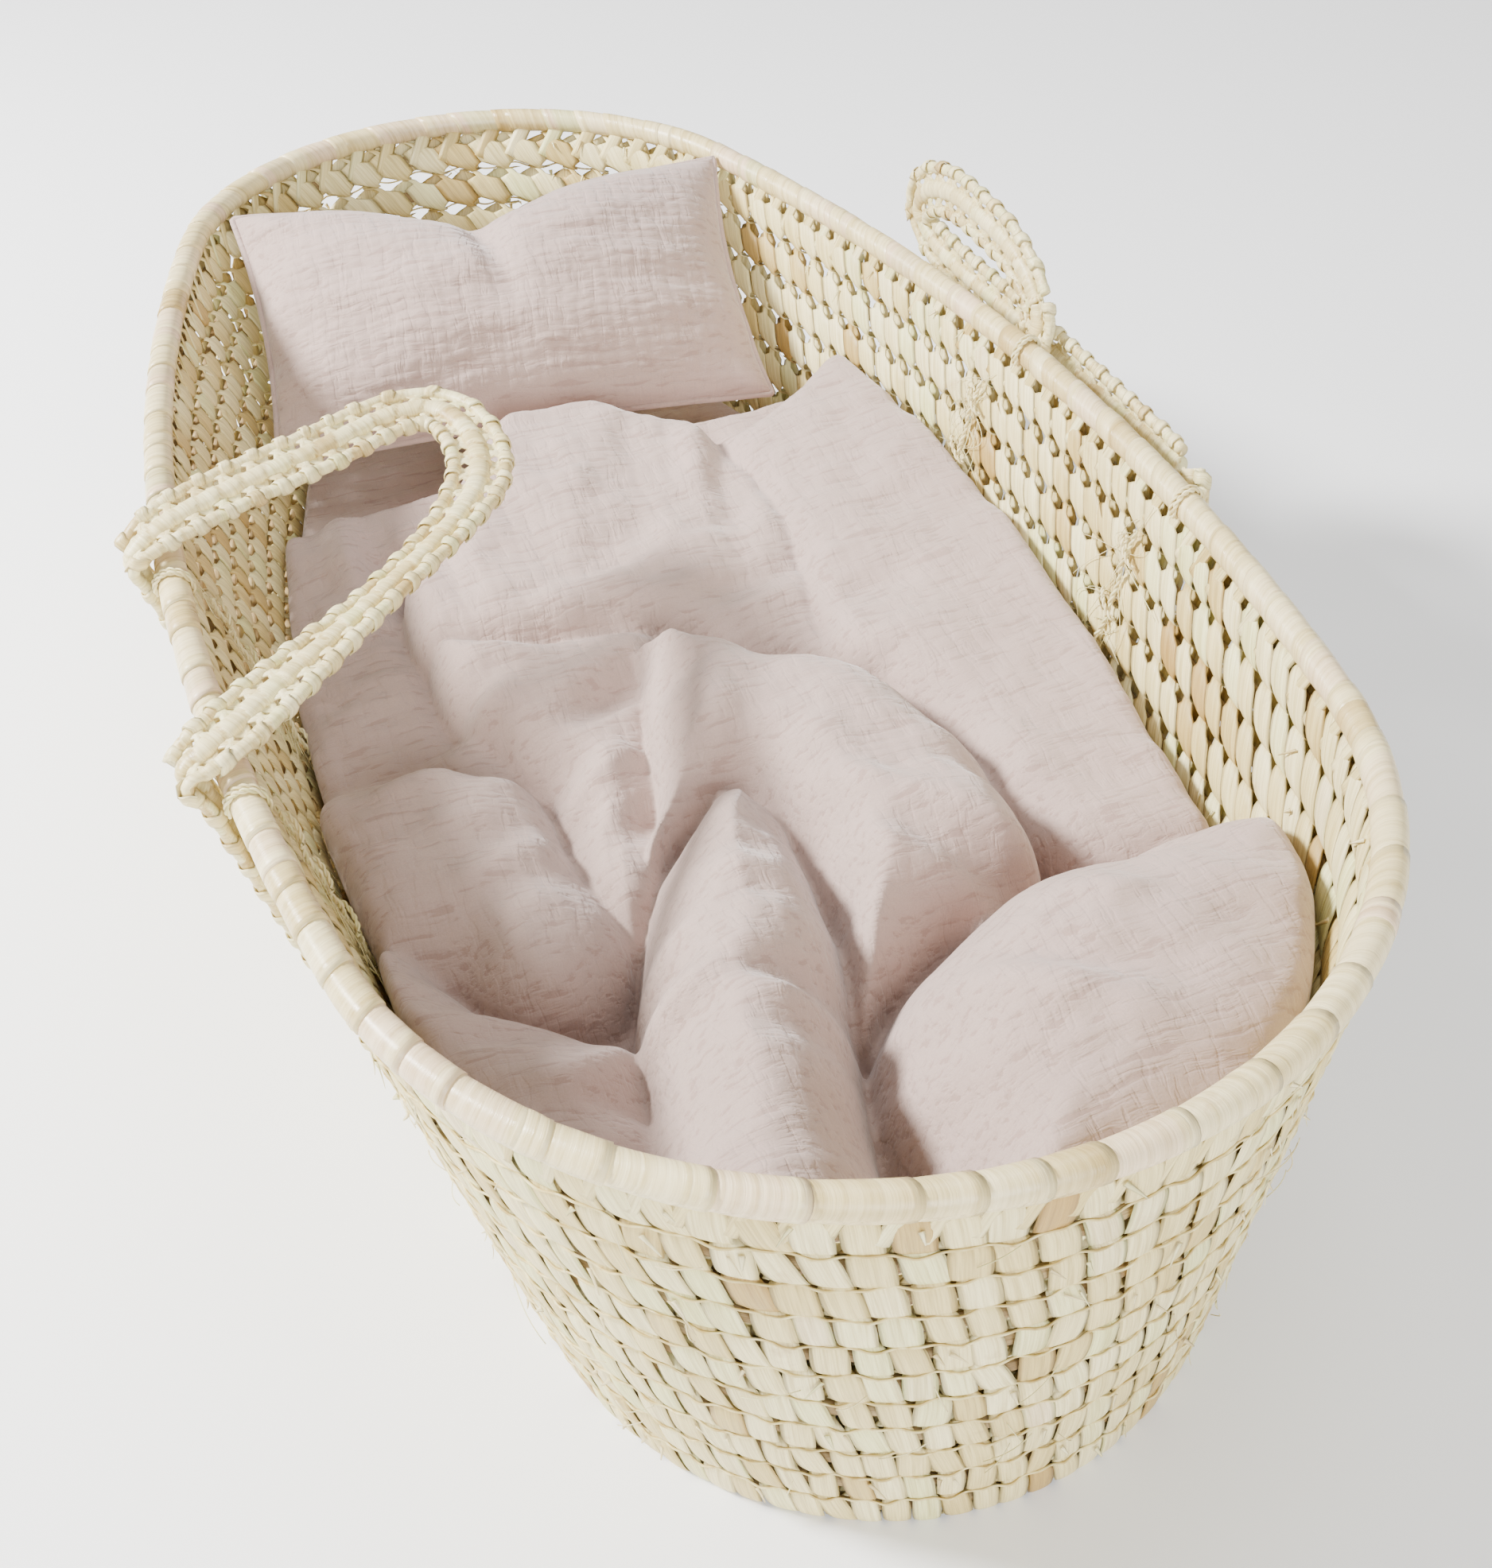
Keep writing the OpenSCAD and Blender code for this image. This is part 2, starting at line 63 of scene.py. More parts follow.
def node(tree, kind, **values):
    n = tree.nodes.new(kind)
    for key, value in values.items():
        if key.startswith("in_"):
            n.inputs[int(key[3:]) if key[3:].isdigit() else key[3:]].default_value = value
        else:
            setattr(n, key, value)
    return n


def ramp(tree, stops):
    n = tree.nodes.new("ShaderNodeValToRGB")
    el = n.color_ramp.elements
    while len(el) < len(stops):
        el.new(0.5)
    for e, (pos, colour) in zip(el, stops):
        e.position = pos
        e.color = (*colour, 1) if len(colour) == 3 else colour
    return n


def scaled(tree, source, scale):
    n = node(tree, "ShaderNodeVectorMath", operation="MULTIPLY")
    tree.links.new(source, n.inputs[0])
    n.inputs[1].default_value = scale
    return n.outputs[0]


def mix(tree, fac, a, b, kind="MIX"):
    n = tree.nodes.new("ShaderNodeMix")
    n.data_type = "RGBA"
    n.blend_type = kind
    for value, socket in ((fac, n.inputs[0]), (a, n.inputs[6]), (b, n.inputs[7])):
        if isinstance(value, (float, int)):
            socket.default_value = value
        elif isinstance(value, tuple):
            socket.default_value = (*value, 1)
        else:
            tree.links.new(value, socket)
    return n.outputs[2]


def palm(name, stops, rough=0.5, streak=0.55, coat=0.0, stain=(0.42, 0.27, 0.11), along=45):
    """Dried palm leaf: each strip its own tone, fine lengthwise fibres and a few stains."""
    mat, tree, bsdf = material(name)
    link = tree.links.new
    tone = node(tree, "ShaderNodeAttribute", attribute_name="tone")
    fib = node(tree, "ShaderNodeAttribute", attribute_name="fib")
    colour = ramp(tree, stops)
    link(tone.outputs["Fac"], colour.inputs[0])
    fine = node(tree, "ShaderNodeTexNoise", in_Scale=1.0, in_Detail=4.0, in_Roughness=0.6)
    link(scaled(tree, fib.outputs["Vector"], (along, 1500, 1500)), fine.inputs["Vector"])
    broad = node(tree, "ShaderNodeTexNoise", in_Scale=1.0, in_Detail=2.0)
    link(scaled(tree, fib.outputs["Vector"], (along * 0.6, 420, 420)), broad.inputs["Vector"])
    coords = node(tree, "ShaderNodeTexCoord")
    blot = node(tree, "ShaderNodeTexNoise", in_Scale=38.0, in_Detail=5.0, in_Roughness=0.65)
    link(coords.outputs["Object"], blot.inputs["Vector"])
    lines = ramp(tree, [(0.36, (0.62, 0.54, 0.42)), (0.56, (1, 1, 1))])
    link(fine.outputs["Fac"], lines.inputs[0])
    wide = ramp(tree, [(0.34, (0.78, 0.74, 0.62)), (0.6, (1.04, 1.04, 1.04))])
    link(broad.outputs["Fac"], wide.inputs[0])
    spots = ramp(tree, [(0.63, (0, 0, 0)), (0.76, (1, 1, 1))])
    link(blot.outputs["Fac"], spots.inputs[0])
    c = mix(tree, streak, colour.outputs[0], lines.outputs[0], "MULTIPLY")
    c = mix(tree, 0.8, c, wide.outputs[0], "MULTIPLY")
    c = mix(tree, spots.outputs[0], c, mix(tree, 0.55, c, stain))
    link(c, bsdf.inputs["Base Color"])
    r = node(tree, "ShaderNodeMapRange", in_1=0.3, in_2=0.7, in_3=rough - 0.12, in_4=rough + 0.14)
    link(broad.outputs["Fac"], r.inputs[0])
    link(r.outputs[0], bsdf.inputs["Roughness"])
    bump = node(tree, "ShaderNodeBump", in_Strength=0.55, in_Distance=0.0004)
    link(fine.outputs["Fac"], bump.inputs["Height"])
    bump2 = node(tree, "ShaderNodeBump", in_Strength=0.5, in_Distance=0.0006)
    link(broad.outputs["Fac"], bump2.inputs["Height"])
    link(bump.outputs[0], bump2.inputs["Normal"])
    link(bump2.outputs[0], bsdf.inputs["Normal"])
    bsdf.inputs["Coat Weight"].default_value = coat
    bsdf.inputs["Coat Roughness"].default_value = 0.3
    return mat


STRAW = [
    (0.0, (0.46, 0.29, 0.08)),
    (0.10, (0.64, 0.49, 0.18)),
    (0.40, (0.80, 0.68, 0.32)),
    (0.70, (0.88, 0.79, 0.44)),
    (0.86, (0.78, 0.77, 0.36)),
    (1.0, (0.84, 0.70, 0.44)),
]
PALE = [
    (0.0, (0.52, 0.37, 0.15)),
    (0.3, (0.76, 0.63, 0.31)),
    (0.7, (0.88, 0.79, 0.46)),
    (1.0, (0.76, 0.72, 0.35)),
]
GREEN = [
    (0.0, (0.56, 0.40, 0.15)),
    (0.35, (0.78, 0.64, 0.32)),
    (0.65, (0.86, 0.74, 0.42)),
    (0.85, (0.80, 0.60, 0.40)),
    (1.0, (0.64, 0.64, 0.30)),
]
CORE = [(0.0, (0.24, 0.15, 0.055)), (0.5, (0.36, 0.25, 0.11)), (1.0, (0.50, 0.39, 0.20))]

MAT_STRIP = palm("palm_strip", STRAW)
MAT_CORE = palm("palm_core", CORE, rough=0.7, streak=0.8)
MAT_RIM = palm("palm_rim", GREEN, rough=0.36, streak=0.35, coat=0.25)
MAT_CORD = palm("palm_cord", PALE, rough=0.45, streak=0.5, coat=0.1)
MAT_TWINE = palm("twine", PALE, rough=0.6, streak=0.5)


def coil_material():
    """For the base coils, which keep their CAD shape: wraps across each coil."""
    mat, tree, bsdf = material("palm_base")
    link = tree.links.new
    coords = node(tree, "ShaderNodeTexCoord")
    wave = node(tree, "ShaderNodeTexWave", wave_type="BANDS", in_Scale=34.0, in_Distortion=5.0)
    wave.inputs["Detail"].default_value = 3.0
    link(coords.outputs["Object"], wave.inputs["Vector"])
    noise = node(tree, "ShaderNodeTexNoise", in_Scale=90.0, in_Detail=6.0)
    link(coords.outputs["Object"], noise.inputs["Vector"])
    tint = ramp(tree, [
        (0.1, (0.36, 0.25, 0.11)), (0.4, (0.66, 0.55, 0.32)), (0.9, (0.76, 0.68, 0.45)),
    ])
    link(wave.outputs["Fac"], tint.inputs[0])
    shade = ramp(tree, [(0.3, (0.7, 0.64, 0.52)), (0.65, (1, 1, 1))])
    link(noise.outputs["Fac"], shade.inputs[0])
    link(mix(tree, 0.8, tint.outputs[0], shade.outputs[0], "MULTIPLY"), bsdf.inputs["Base Color"])
    bump = node(tree, "ShaderNodeBump", in_Strength=0.8, in_Distance=0.001)
    link(wave.outputs["Fac"], bump.inputs["Height"])
    link(bump.outputs[0], bsdf.inputs["Normal"])
    bsdf.inputs["Roughness"].default_value = 0.6
    return mat


def muslin(name, base, shadow):
    """Crinkled double gauze: fine creases both ways, single threads and a soft nap."""
    mat, tree, bsdf = material(name)
    link = tree.links.new
    fib = node(tree, "ShaderNodeAttribute", attribute_name="fib")
    warp = node(tree, "ShaderNodeTexNoise", in_Scale=26.0, in_Detail=3.0)
    link(fib.outputs["Vector"], warp.inputs["Vector"])
    shift = node(tree, "ShaderNodeVectorMath", operation="MULTIPLY_ADD")
    link(warp.outputs["Color"], shift.inputs[0])
    shift.inputs[1].default_value = (0.010, 0.010, 0.010)
    link(fib.outputs["Vector"], shift.inputs[2])
    rows = node(tree, "ShaderNodeTexNoise", in_Scale=1.0, in_Detail=3.0, in_Roughness=0.5)
    link(scaled(tree, shift.outputs[0], (42, 330, 260)), rows.inputs["Vector"])
    files = node(tree, "ShaderNodeTexNoise", in_Scale=1.0, in_Detail=2.0, in_Roughness=0.5)
    link(scaled(tree, shift.outputs[0], (300, 55, 60)), files.inputs["Vector"])
    puff = ramp(tree, [(0.36, (0, 0, 0)), (0.50, (0.8, 0.8, 0.8)), (0.66, (1, 1, 1))])
    link(rows.outputs["Fac"], puff.inputs[0])
    crease = ramp(tree, [(0.38, (0, 0, 0)), (0.46, (0.85, 0.85, 0.85)), (0.6, (1, 1, 1))])
    link(files.outputs["Fac"], crease.inputs[0])
    thread = node(tree, "ShaderNodeTexNoise", in_Scale=1500.0, in_Detail=2.0)
    link(fib.outputs["Vector"], thread.inputs["Vector"])
    soft = node(tree, "ShaderNodeTexNoise", in_Scale=9.0, in_Detail=3.0)
    link(fib.outputs["Vector"], soft.inputs["Vector"])
    tint = ramp(tree, [(0.3, tuple(0.93 * v for v in base)), (0.7, base)])
    link(soft.outputs["Fac"], tint.inputs[0])
    low = ramp(tree, [(0.0, shadow), (0.25, (0.96, 0.95, 0.945)), (1.0, (1, 1, 1))])
    link(puff.outputs[0], low.inputs[0])
    c = mix(tree, 0.7, tint.outputs[0], low.outputs[0], "MULTIPLY")
    speck = ramp(tree, [(0.35, (0.93, 0.925, 0.92)), (0.65, (1.02, 1.02, 1.02))])
    link(thread.outputs["Fac"], speck.inputs[0])
    link(mix(tree, 0.8, c, speck.outputs[0], "MULTIPLY"), bsdf.inputs["Base Color"])
    b1 = node(tree, "ShaderNodeBump", in_Strength=0.38, in_Distance=0.0008)
    link(puff.outputs[0], b1.inputs["Height"])
    b2 = node(tree, "ShaderNodeBump", in_Strength=0.34, in_Distance=0.0008)
    link(crease.outputs[0], b2.inputs["Height"])
    link(b1.outputs[0], b2.inputs["Normal"])
    b3 = node(tree, "ShaderNodeBump", in_Strength=0.35, in_Distance=0.0002)
    link(thread.outputs["Fac"], b3.inputs["Height"])
    link(b2.outputs[0], b3.inputs["Normal"])
    link(b3.outputs[0], bsdf.inputs["Normal"])
    bsdf.inputs["Roughness"].default_value = 0.9
    bsdf.inputs["Sheen Weight"].default_value = 0.35
    bsdf.inputs["Sheen Roughness"].default_value = 0.5
    bsdf.inputs["Specular IOR Level"].default_value = 0.2
    return mat


MAT_BASE = coil_material()
MAT_MUSLIN = muslin("muslin", (0.47, 0.345, 0.30), (0.76, 0.70, 0.68))


# ---------------------------------------------------------------- meshes
def piece(name, verts, faces, tone, fib, mat, body):
    """A smooth mesh piece with its material, riding on a body, or on none if body is None."""
    mesh = bpy.data.meshes.new(name)
    mesh.from_pydata(np.asarray(verts).tolist(), [], faces)
    mesh.update()
    mesh.polygons.foreach_set("use_smooth", np.ones(len(mesh.polygons), bool))
    tones = mesh.attributes.new("tone", "FLOAT", "POINT")
    tones.data.foreach_set("value", np.asarray(tone, np.float32))
    fibres = mesh.attributes.new("fib", "FLOAT_VECTOR", "POINT")
    fibres.data.foreach_set("vector", np.asarray(fib, np.float32).ravel())
    mesh.materials.append(mat)
    obj = bpy.data.objects.new(name, mesh)
    bpy.context.scene.collection.objects.link(obj)
    if body:
        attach(obj, body)
    return obj


class Bag:
    """Collects tubes of points into one mesh, with a tone and a fibre direction at each point."""

    def __init__(self):
        self.verts, self.faces, self.tones, self.fibs, self.count = [], [], [], [], 0

    def grid(self, pts, tone, fib, ring=False):
        """Add m rings of k points, as (m, k, 3): capped at both ends, or closed on itself if ring."""
        m, k = pts.shape[:2]
        idx = self.count + np.arange(m * k).reshape(m, k)
        a = idx if ring else idx[:-1]
        b = np.roll(idx, -1, 0) if ring else idx[1:]
        quads = np.stack([a, np.roll(a, -1, 1), np.roll(b, -1, 1), b], -1)
        pts = pts.reshape(-1, 3)
        tone = np.broadcast_to(tone, (m, k)).reshape(-1)
        fib = np.broadcast_to(fib, (m, k, 3)).reshape(-1, 3)
        self._add(pts, quads.reshape(-1, 4).tolist(), tone, fib)
        if not ring:
            self._cap(idx[0], pts[:k], tone[:1], fib[:1], False)
            self._cap(idx[-1], pts[-k:], tone[-k:][:1], fib[-k:][:1], True)

    def _cap(self, row, pts, tone, fib, turned):
        pairs = zip(row.tolist(), np.roll(row, -1).tolist())
        middle = self.count
        tris = [(a, b, middle) if turned else (a, middle, b) for a, b in pairs]
        self._add(pts.mean(0)[None], tris, tone, fib)

    def _add(self, verts, faces, tone, fib):
        self.verts.append(verts)
        self.faces.extend(faces)
        self.tones.append(tone)
        self.fibs.append(fib)
        self.count += len(verts)

    def make(self, name, mat, body, slot):
        verts, tones, fibs = (np.concatenate(v) for v in (self.verts, self.tones, self.fibs))
        return piece(name, verts, self.faces, tones, fibs, mat, body)


def unit(v):
    return v / np.maximum(np.linalg.norm(v, axis=-1, keepdims=True), 1e-12)


# ---------------------------------------------------------------- plan of the basket
rim_lo, rim_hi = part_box("rim_wrap")
RIM_R = (rim_hi.z - rim_lo.z) / 2
RIM_Z = (rim_hi.z + rim_lo.z) / 2
HALF_W = round((rim_hi.x - RIM_R) / MM) * MM
HALF_L = (rim_hi.y - rim_lo.y) / 2 - RIM_R
SHIFT = (rim_hi.y + rim_lo.y) / 2
LEAN = 54 * MM
FOOT_TUCK, HEAD_TUCK = 14 * MM, 46 * MM
foot_r, head_r = HALF_W - FOOT_TUCK, HALF_W - HEAD_TUCK
foot_y, head_y = foot_r - HALF_L, HALF_L - head_r
# the two side arcs touch the foot and head arcs without a corner
qa = HEAD_TUCK - FOOT_TUCK
qb = 2 * (FOOT_TUCK * head_y - HEAD_TUCK * foot_y)
qc = HEAD_TUCK * foot_y**2 - FOOT_TUCK * head_y**2 + FOOT_TUCK * HEAD_TUCK * qa
side_y = -2 * qc / (qb + math.sqrt(qb * qb - 4 * qa * qc))
side_x = ((side_y - foot_y) ** 2 - FOOT_TUCK**2) / (2 * FOOT_TUCK)
side_r = HALF_W + side_x
fa, ha = math.atan2(foot_y - side_y, side_x), math.atan2(head_y - side_y, side_x)
ARCS = np.array([
    (0, foot_y, foot_r, -math.pi - fa, fa),
    (-side_x, side_y, side_r, fa, ha),
    (0, head_y, head_r, ha, math.pi - ha),
    (side_x, side_y, side_r, math.pi - ha, math.pi - fa),
])
ARC_LEN = ARCS[:, 2] * (ARCS[:, 4] - ARCS[:, 3])
ARC_END = np.cumsum(ARC_LEN)
TOTAL = ARC_END[-1]


def inset_at(z):
    """How far the wall stands inside the rim at height z."""
    return LEAN * (1 - np.asarray(z) / RIM_Z)


def place(s, d, z):
    """A point at arc length s round the rim's plan, d inward from it, at height z."""
    s, d, z = np.broadcast_arrays(np.mod(s, TOTAL), d, z)
    k = np.minimum(np.searchsorted(ARC_END, s.ravel(), side="right"), 3).reshape(s.shape)
    arc = ARCS[k]
    begin = ARC_END[k] - ARC_LEN[k]
    ang = arc[..., 3] + (s - begin) / arc[..., 2]
    r = arc[..., 2] - d
    y = arc[..., 1] + r * np.sin(ang) + SHIFT * z / RIM_Z
    return np.stack([arc[..., 0] + r * np.cos(ang), y, z], -1)


def lengths(path):
    """Distance along a path at each of its points."""
    return np.concatenate([[0], np.cumsum(np.linalg.norm(np.diff(path, axis=0), axis=1))])


def fibres(*parts):
    """Fibre coordinates: along the strip, across it and through it."""
    return np.stack(np.broadcast_arrays(*parts), -1)


def wall_path(s, outward, z):
    """Points outward from the middle of the wall, at arc length s and height z."""
    return place(s, inset_at(z) - outward, z)


def catmull_rom(a, b, c, d, t):
    """Points between b and c on a smooth curve through all four."""
    square = 2 * a - 5 * b + 4 * c - d
    cube = 3 * b - a - 3 * c + d
    return 0.5 * (2 * b + (c - a) * t + square * t**2 + cube * t**3)


def tube(bag, path, radius, sides=8, tone=0.5, normal=None, flat=1.0, ring=False):
    """A round or flattened tube along a path of points."""
    path = np.asarray(path, float)
    if ring:
        tan = unit(np.roll(path, -1, 0) - np.roll(path, 1, 0))
    else:
        tan = unit(np.gradient(path, axis=0))
    if normal is None:
        level = abs(tan[:, 2]).mean() < 0.7
        normal = np.broadcast_to([0.0, 0.0, 1.0] if level else [1.0, 0.0, 0.0], path.shape)
    side = unit(np.cross(tan, normal))
    up = np.cross(side, tan)
    radius = np.broadcast_to(radius, len(path))[:, None, None]
    a = np.arange(sides) * 2 * math.pi / sides
    ca, sa = np.cos(a)[None, :, None], np.sin(a)[None, :, None]
    pts = path[:, None] + radius * (ca * side[:, None] + flat * sa * up[:, None])
    fib = fibres(lengths(path)[:, None], radius[..., 0] * np.cos(a), radius[..., 0] * np.sin(a))
    fib = fib + RNG.uniform(0, 3, 3)
    bag.grid(pts, np.broadcast_to(np.asarray(tone).reshape(-1, 1), (len(path), sides)), fib, ring=ring)


# ---------------------------------------------------------------- woven wall
COURSES = 11
COURSE_H = (RIM_Z - RIM_R) / COURSES
WRAP_PITCH = 0.0142
HEAD_EXTRA = 0.0062
HEAD_REACH = 0.19
LEAN_OUT, LEAN_IN = 0.24, 1.0  # a wrap's advance in pitches over its outer and inner face
STEPS_ROUND = 22


def pitch_table():
    """Where each wrap sits along the plan: closer along the sides, wider round the head."""
    s = np.linspace(0, TOTAL, 4001)
    head_mid = (ARC_END[1] + ARC_END[2]) / 2
    head = np.exp(-(((s - head_mid) / HEAD_REACH) ** 2))
    density = 1 / (WRAP_PITCH + HEAD_EXTRA * head)
    cum = np.concatenate([[0], np.cumsum((density[1:] + density[:-1]) / 2 * np.diff(s))])
    count = int(round(cum[-1]))
    return np.interp(np.arange(count + 1) * cum[-1] / count, cum, s)


STITCH = pitch_table()
N_WRAPS = len(STITCH) - 1
PITCH = np.diff(STITCH)


def course_core(k, z0):
    """The thin bundle of leaf that a course's wraps go round."""
    bag = Bag()
    s = np.linspace(0, TOTAL, 420, endpoint=False)
    a = np.arange(10) * 2 * math.pi / 10
    wob = 0.0004 * np.sin(s[:, None] * 40 + k) + RNG.normal(0, 0.00015, (len(s), 1))
    zc = z0 + 0.0027 * np.sin(a)[None] + wob
    pts = wall_path(s[:, None], 0.0024 * np.cos(a)[None], zc)
    fib = fibres(s[:, None], 0.003 * np.cos(a)[None], 0.005 * np.sin(a)[None]) + k
    bag.grid(pts, RNG.uniform(0.1, 0.9, (len(s), 1)), fib, ring=True)
    bag.make(f"course_{k + 1}_core", MAT_CORE, "basket", "palm_coil")


def course(k):
    """One course: its core, and separate strips wound round it with gaps at the seams."""
    z0 = (k + 0.5) * COURSE_H
    drift = (k * LEAN_OUT) % 1.0
    course_core(k, z0)

    bag = Bag()
    phi = np.linspace(-math.pi / 2 - 0.25, 1.5 * math.pi + 0.1, STEPS_ROUND)
    turn = (phi + math.pi / 2) / (2 * math.pi)
    advance = np.where(
        turn < 0.5, LEAN_OUT * np.clip(turn, -0.1, 1) * 2, LEAN_OUT + LEAN_IN * (turn - 0.5) * 2
    )
    # the strip's own section: across it in half widths, and raised from its middle
    across = np.array([-1, -0.62, 0.0, 0.62, 1, 0.5, -0.5])
    raised = np.array([-0.1, 0.4, 0.55, 0.45, 0.05, -0.5, -0.5]) * 0.001
    cph, sph = np.cos(phi), np.sin(phi)
    outer = cph > 0
    boxy = np.where(outer, 0.86 * np.abs(cph) ** 0.34, -0.92 * np.abs(cph) ** 0.75)
    boxz = np.sign(sph) * np.abs(sph) ** 0.92
    # closely woven round the foot, open at the seams everywhere else
    close = np.where(outer, np.abs(cph) ** 0.22, np.abs(cph) ** 0.6)
    open_face = np.clip((0.74 - np.abs(sph)) / 0.20, 0, 1)
    sy = place(STITCH, 0.0, z0)[:, 1]
    openness = np.clip((sy + 0.19) / 0.16, 0, 1)
    for j in range(N_WRAPS):
        p = PITCH[j]
        tone = RNG.beta(2.4, 2.0) if RNG.random() > 0.03 else RNG.uniform(0, 0.12)
        wide = np.where(outer, RNG.uniform(0.90, 1.10), RNG.uniform(0.98, 1.14))
        narrow = RNG.uniform(0.26, 0.38) * np.clip(WRAP_PITCH / p, 0.6, 1)
        lift = RNG.uniform(-0.25, 0.35) * MM
        tilt = RNG.normal(0, 0.07)
        at = STITCH[j] - drift * p + RNG.normal(0, 0.05) * p
        face = close * (1 - openness[j]) + open_face * openness[j]
        half = p * (wide * face + narrow * (1 - face)) / 2
        deep = 0.0040 + lift
        tall = COURSE_H / 2 + RNG.uniform(0.0, 0.3) * MM
        s_mid = at - p * advance + tilt * p * sph * outer
        out = deep * boxy
        zz = z0 + tall * boxz
        width = half[:, None] * across[None]
        # the strip's skin stands off along the section's own outward direction
        facing = unit(np.stack([cph / deep, sph / tall], -1))
        inward = inset_at(zz)[:, None] - (out[:, None] + facing[:, :1] * raised[None])
        pts = place(s_mid[:, None] + width, inward, zz[:, None] + facing[:, 1:] * raised[None] * 0.6)
        along = np.cumsum(np.concatenate([[0], np.hypot(np.diff(out), np.diff(zz))]))
        fib = fibres(along[:, None], width, 0.0) + RNG.uniform(0, 4, 3)
        # painted shade: the strip's two long edges are made darker, standing in for the shade in the
        # gaps between strips
        edge = 0.10 * (np.abs(across)[None] > 0.9)
        bag.grid(pts, np.clip(tone - edge, 0, 1), fib)
    obj = bag.make(f"course_{k + 1}_wraps", MAT_STRIP, "basket", "palm_coil")
    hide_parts(f"wall_course_{k + 1}")


for k in range(COURSES):
    course(k)


def seams():
    """A thin twisted line lying in each outer seam, torn strip ends and loose hairs."""
    bag = Bag()
    s = np.linspace(0, TOTAL, 1100, endpoint=False)
    for k in range(1, COURSES):
        z = k * COURSE_H
        wave = 0.5 + 0.5 * np.sin(2 * math.pi * s / 0.0145)
        zz = z + 0.0013 * np.sin(2 * math.pi * s / 0.029 + k)
        path = wall_path(s, 0.0030 + 0.0010 * wave, zz)
        tube(bag, path, 0.0005, 5, RNG.uniform(0.05, 0.6, len(s)), ring=True)
    bag.make("seam_lines", MAT_STRIP, "basket", "palm_coil")
    bag = Bag()
    for _ in range(520):
        s = RNG.uniform(0, TOTAL)
        k = RNG.integers(1, COURSES + 1)
        z = k * COURSE_H - RNG.uniform(0.001, 0.004)
        length = RNG.uniform(0.004, 0.013)
        t = np.linspace(0, 1, 5)
        outward = 0.0046 + 0.0012 * t + RNG.uniform(0, 0.0016) * t * t
        outward = outward * (1 if RNG.random() < 0.75 else -1)
        ss = s + length * RNG.uniform(-0.6, 0.9) * t
        zz = z - length * RNG.uniform(0.2, 1.0) * t
        path = wall_path(ss, outward, zz)
        w = RNG.uniform(0.0005, 0.0014)
        n = unit(wall_path(ss, outward + 0.002, zz) - path)
        tube(bag, path, w * (1 - 0.75 * t), 4, RNG.uniform(0.2, 1), normal=n, flat=0.3)
    for _ in range(150):
        s = RNG.uniform(0, TOTAL)
        z = RNG.uniform(0.02, 0.19)
        t = np.linspace(0, 1, 8)
        bend = RNG.normal(0, 1, 3)
        ss = s + 0.018 * t * bend[0] * 0.7
        zz = np.clip(z + 0.012 * t * bend[1], 0.004, 0.2)
        outward = 0.0048 + 0.0035 * np.sin(t * 2.2) * RNG.uniform(0.3, 1)
        tube(bag, wall_path(ss, outward, zz), 0.00022, 3, RNG.uniform(0.4, 1))
    bag.make("loose_ends", MAT_CORD, "basket", "palm_coil")


seams()


# ---------------------------------------------------------------- rim
def rim_bands():
    """Broad shiny bands round the rim, each lapping the last, with narrow bands between."""
    starts, widths, s = [], [], 0.0
    while s < TOTAL - 0.012:
        w = RNG.uniform(0.017, 0.030) if RNG.random() < 0.72 else RNG.uniform(0.006, 0.010)
        starts.append(s)
        widths.append(w)
        s += w
    scale = TOTAL / s
    starts, widths = np.array(starts) * scale, np.array(widths) * scale
    bag = Bag()
    sides = 18
    a = np.arange(sides) * 2 * math.pi / sides
    for s0, w in zip(starts, widths):
        m = max(5, int(w / 0.0028))
        t = np.linspace(-0.03 / (w / 0.01), 1.0 + 0.16 * 0.02 / w, m)
        tone = RNG.beta(2.2, 1.8)
        slope = 0.0032 * RNG.uniform(0.4, 1.2)
        r = RIM_R - 0.00035 + 0.00062 * (t if w > 0.012 else 0.9 + 0 * t)
        bulge = 0.0003 * np.sin(np.clip(t, 0, 1) * math.pi) * RNG.uniform(0, 1)
        ss = s0 + w * t[:, None] + slope * np.sin(a + 0.7)[None]
        r = (r + bulge)[:, None]
        z = RIM_Z + r * np.sin(a)[None]
        pts = place(ss, -r * np.cos(a)[None], z)
        pts[..., 1] += SHIFT * (1 - z / RIM_Z)
        fib = fibres(a[None] * RIM_R, w * t[:, None], 0.0) + RNG.uniform(0, 4, 3)
        # painted shade: each band is darker about its end, where the bands lap
        bag.grid(pts, tone - 0.12 * (np.abs(t - 1)[:, None] < 0.12), fib)
    obj = bag.make("rim_bands", MAT_RIM, "basket", "palm_wrap")
    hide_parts("rim_wrap", "rim_core")


def rim_cane():
    bag = Bag()
    path = place(np.linspace(0, TOTAL, 300, endpoint=False), 0.0, RIM_Z)
    tube(bag, path, RIM_R - 0.0012, 12, 0.5, ring=True)
    bag.make("rim_cane", MAT_CORE, "basket", "cane")


def rim_ties():
    """Slanting ties from the rim into the top course, on both faces of the wall."""
    bag = Bag()
    top = COURSES * COURSE_H
    for j in range(N_WRAPS):
        p = PITCH[j]
        for side in (-1, 1):
            t = np.linspace(0, 1, 7)
            zz = top - 0.011 + 0.015 * t
            out = side * (0.0036 - 0.0008 * t)
            ss = STITCH[j] + RNG.normal(0, 0.06) * p + (t - 0.5) * p * 0.5 * side
            path = wall_path(ss, out, zz)
            n = unit(wall_path(ss, out + side * 0.002, zz) - path)
            tube(bag, path, p * 0.21, 6, RNG.beta(2, 2), normal=n, flat=0.16)
    bag.make("rim_ties", MAT_STRIP, "basket", "palm_wrap")


rim_bands()
rim_cane()
rim_ties()


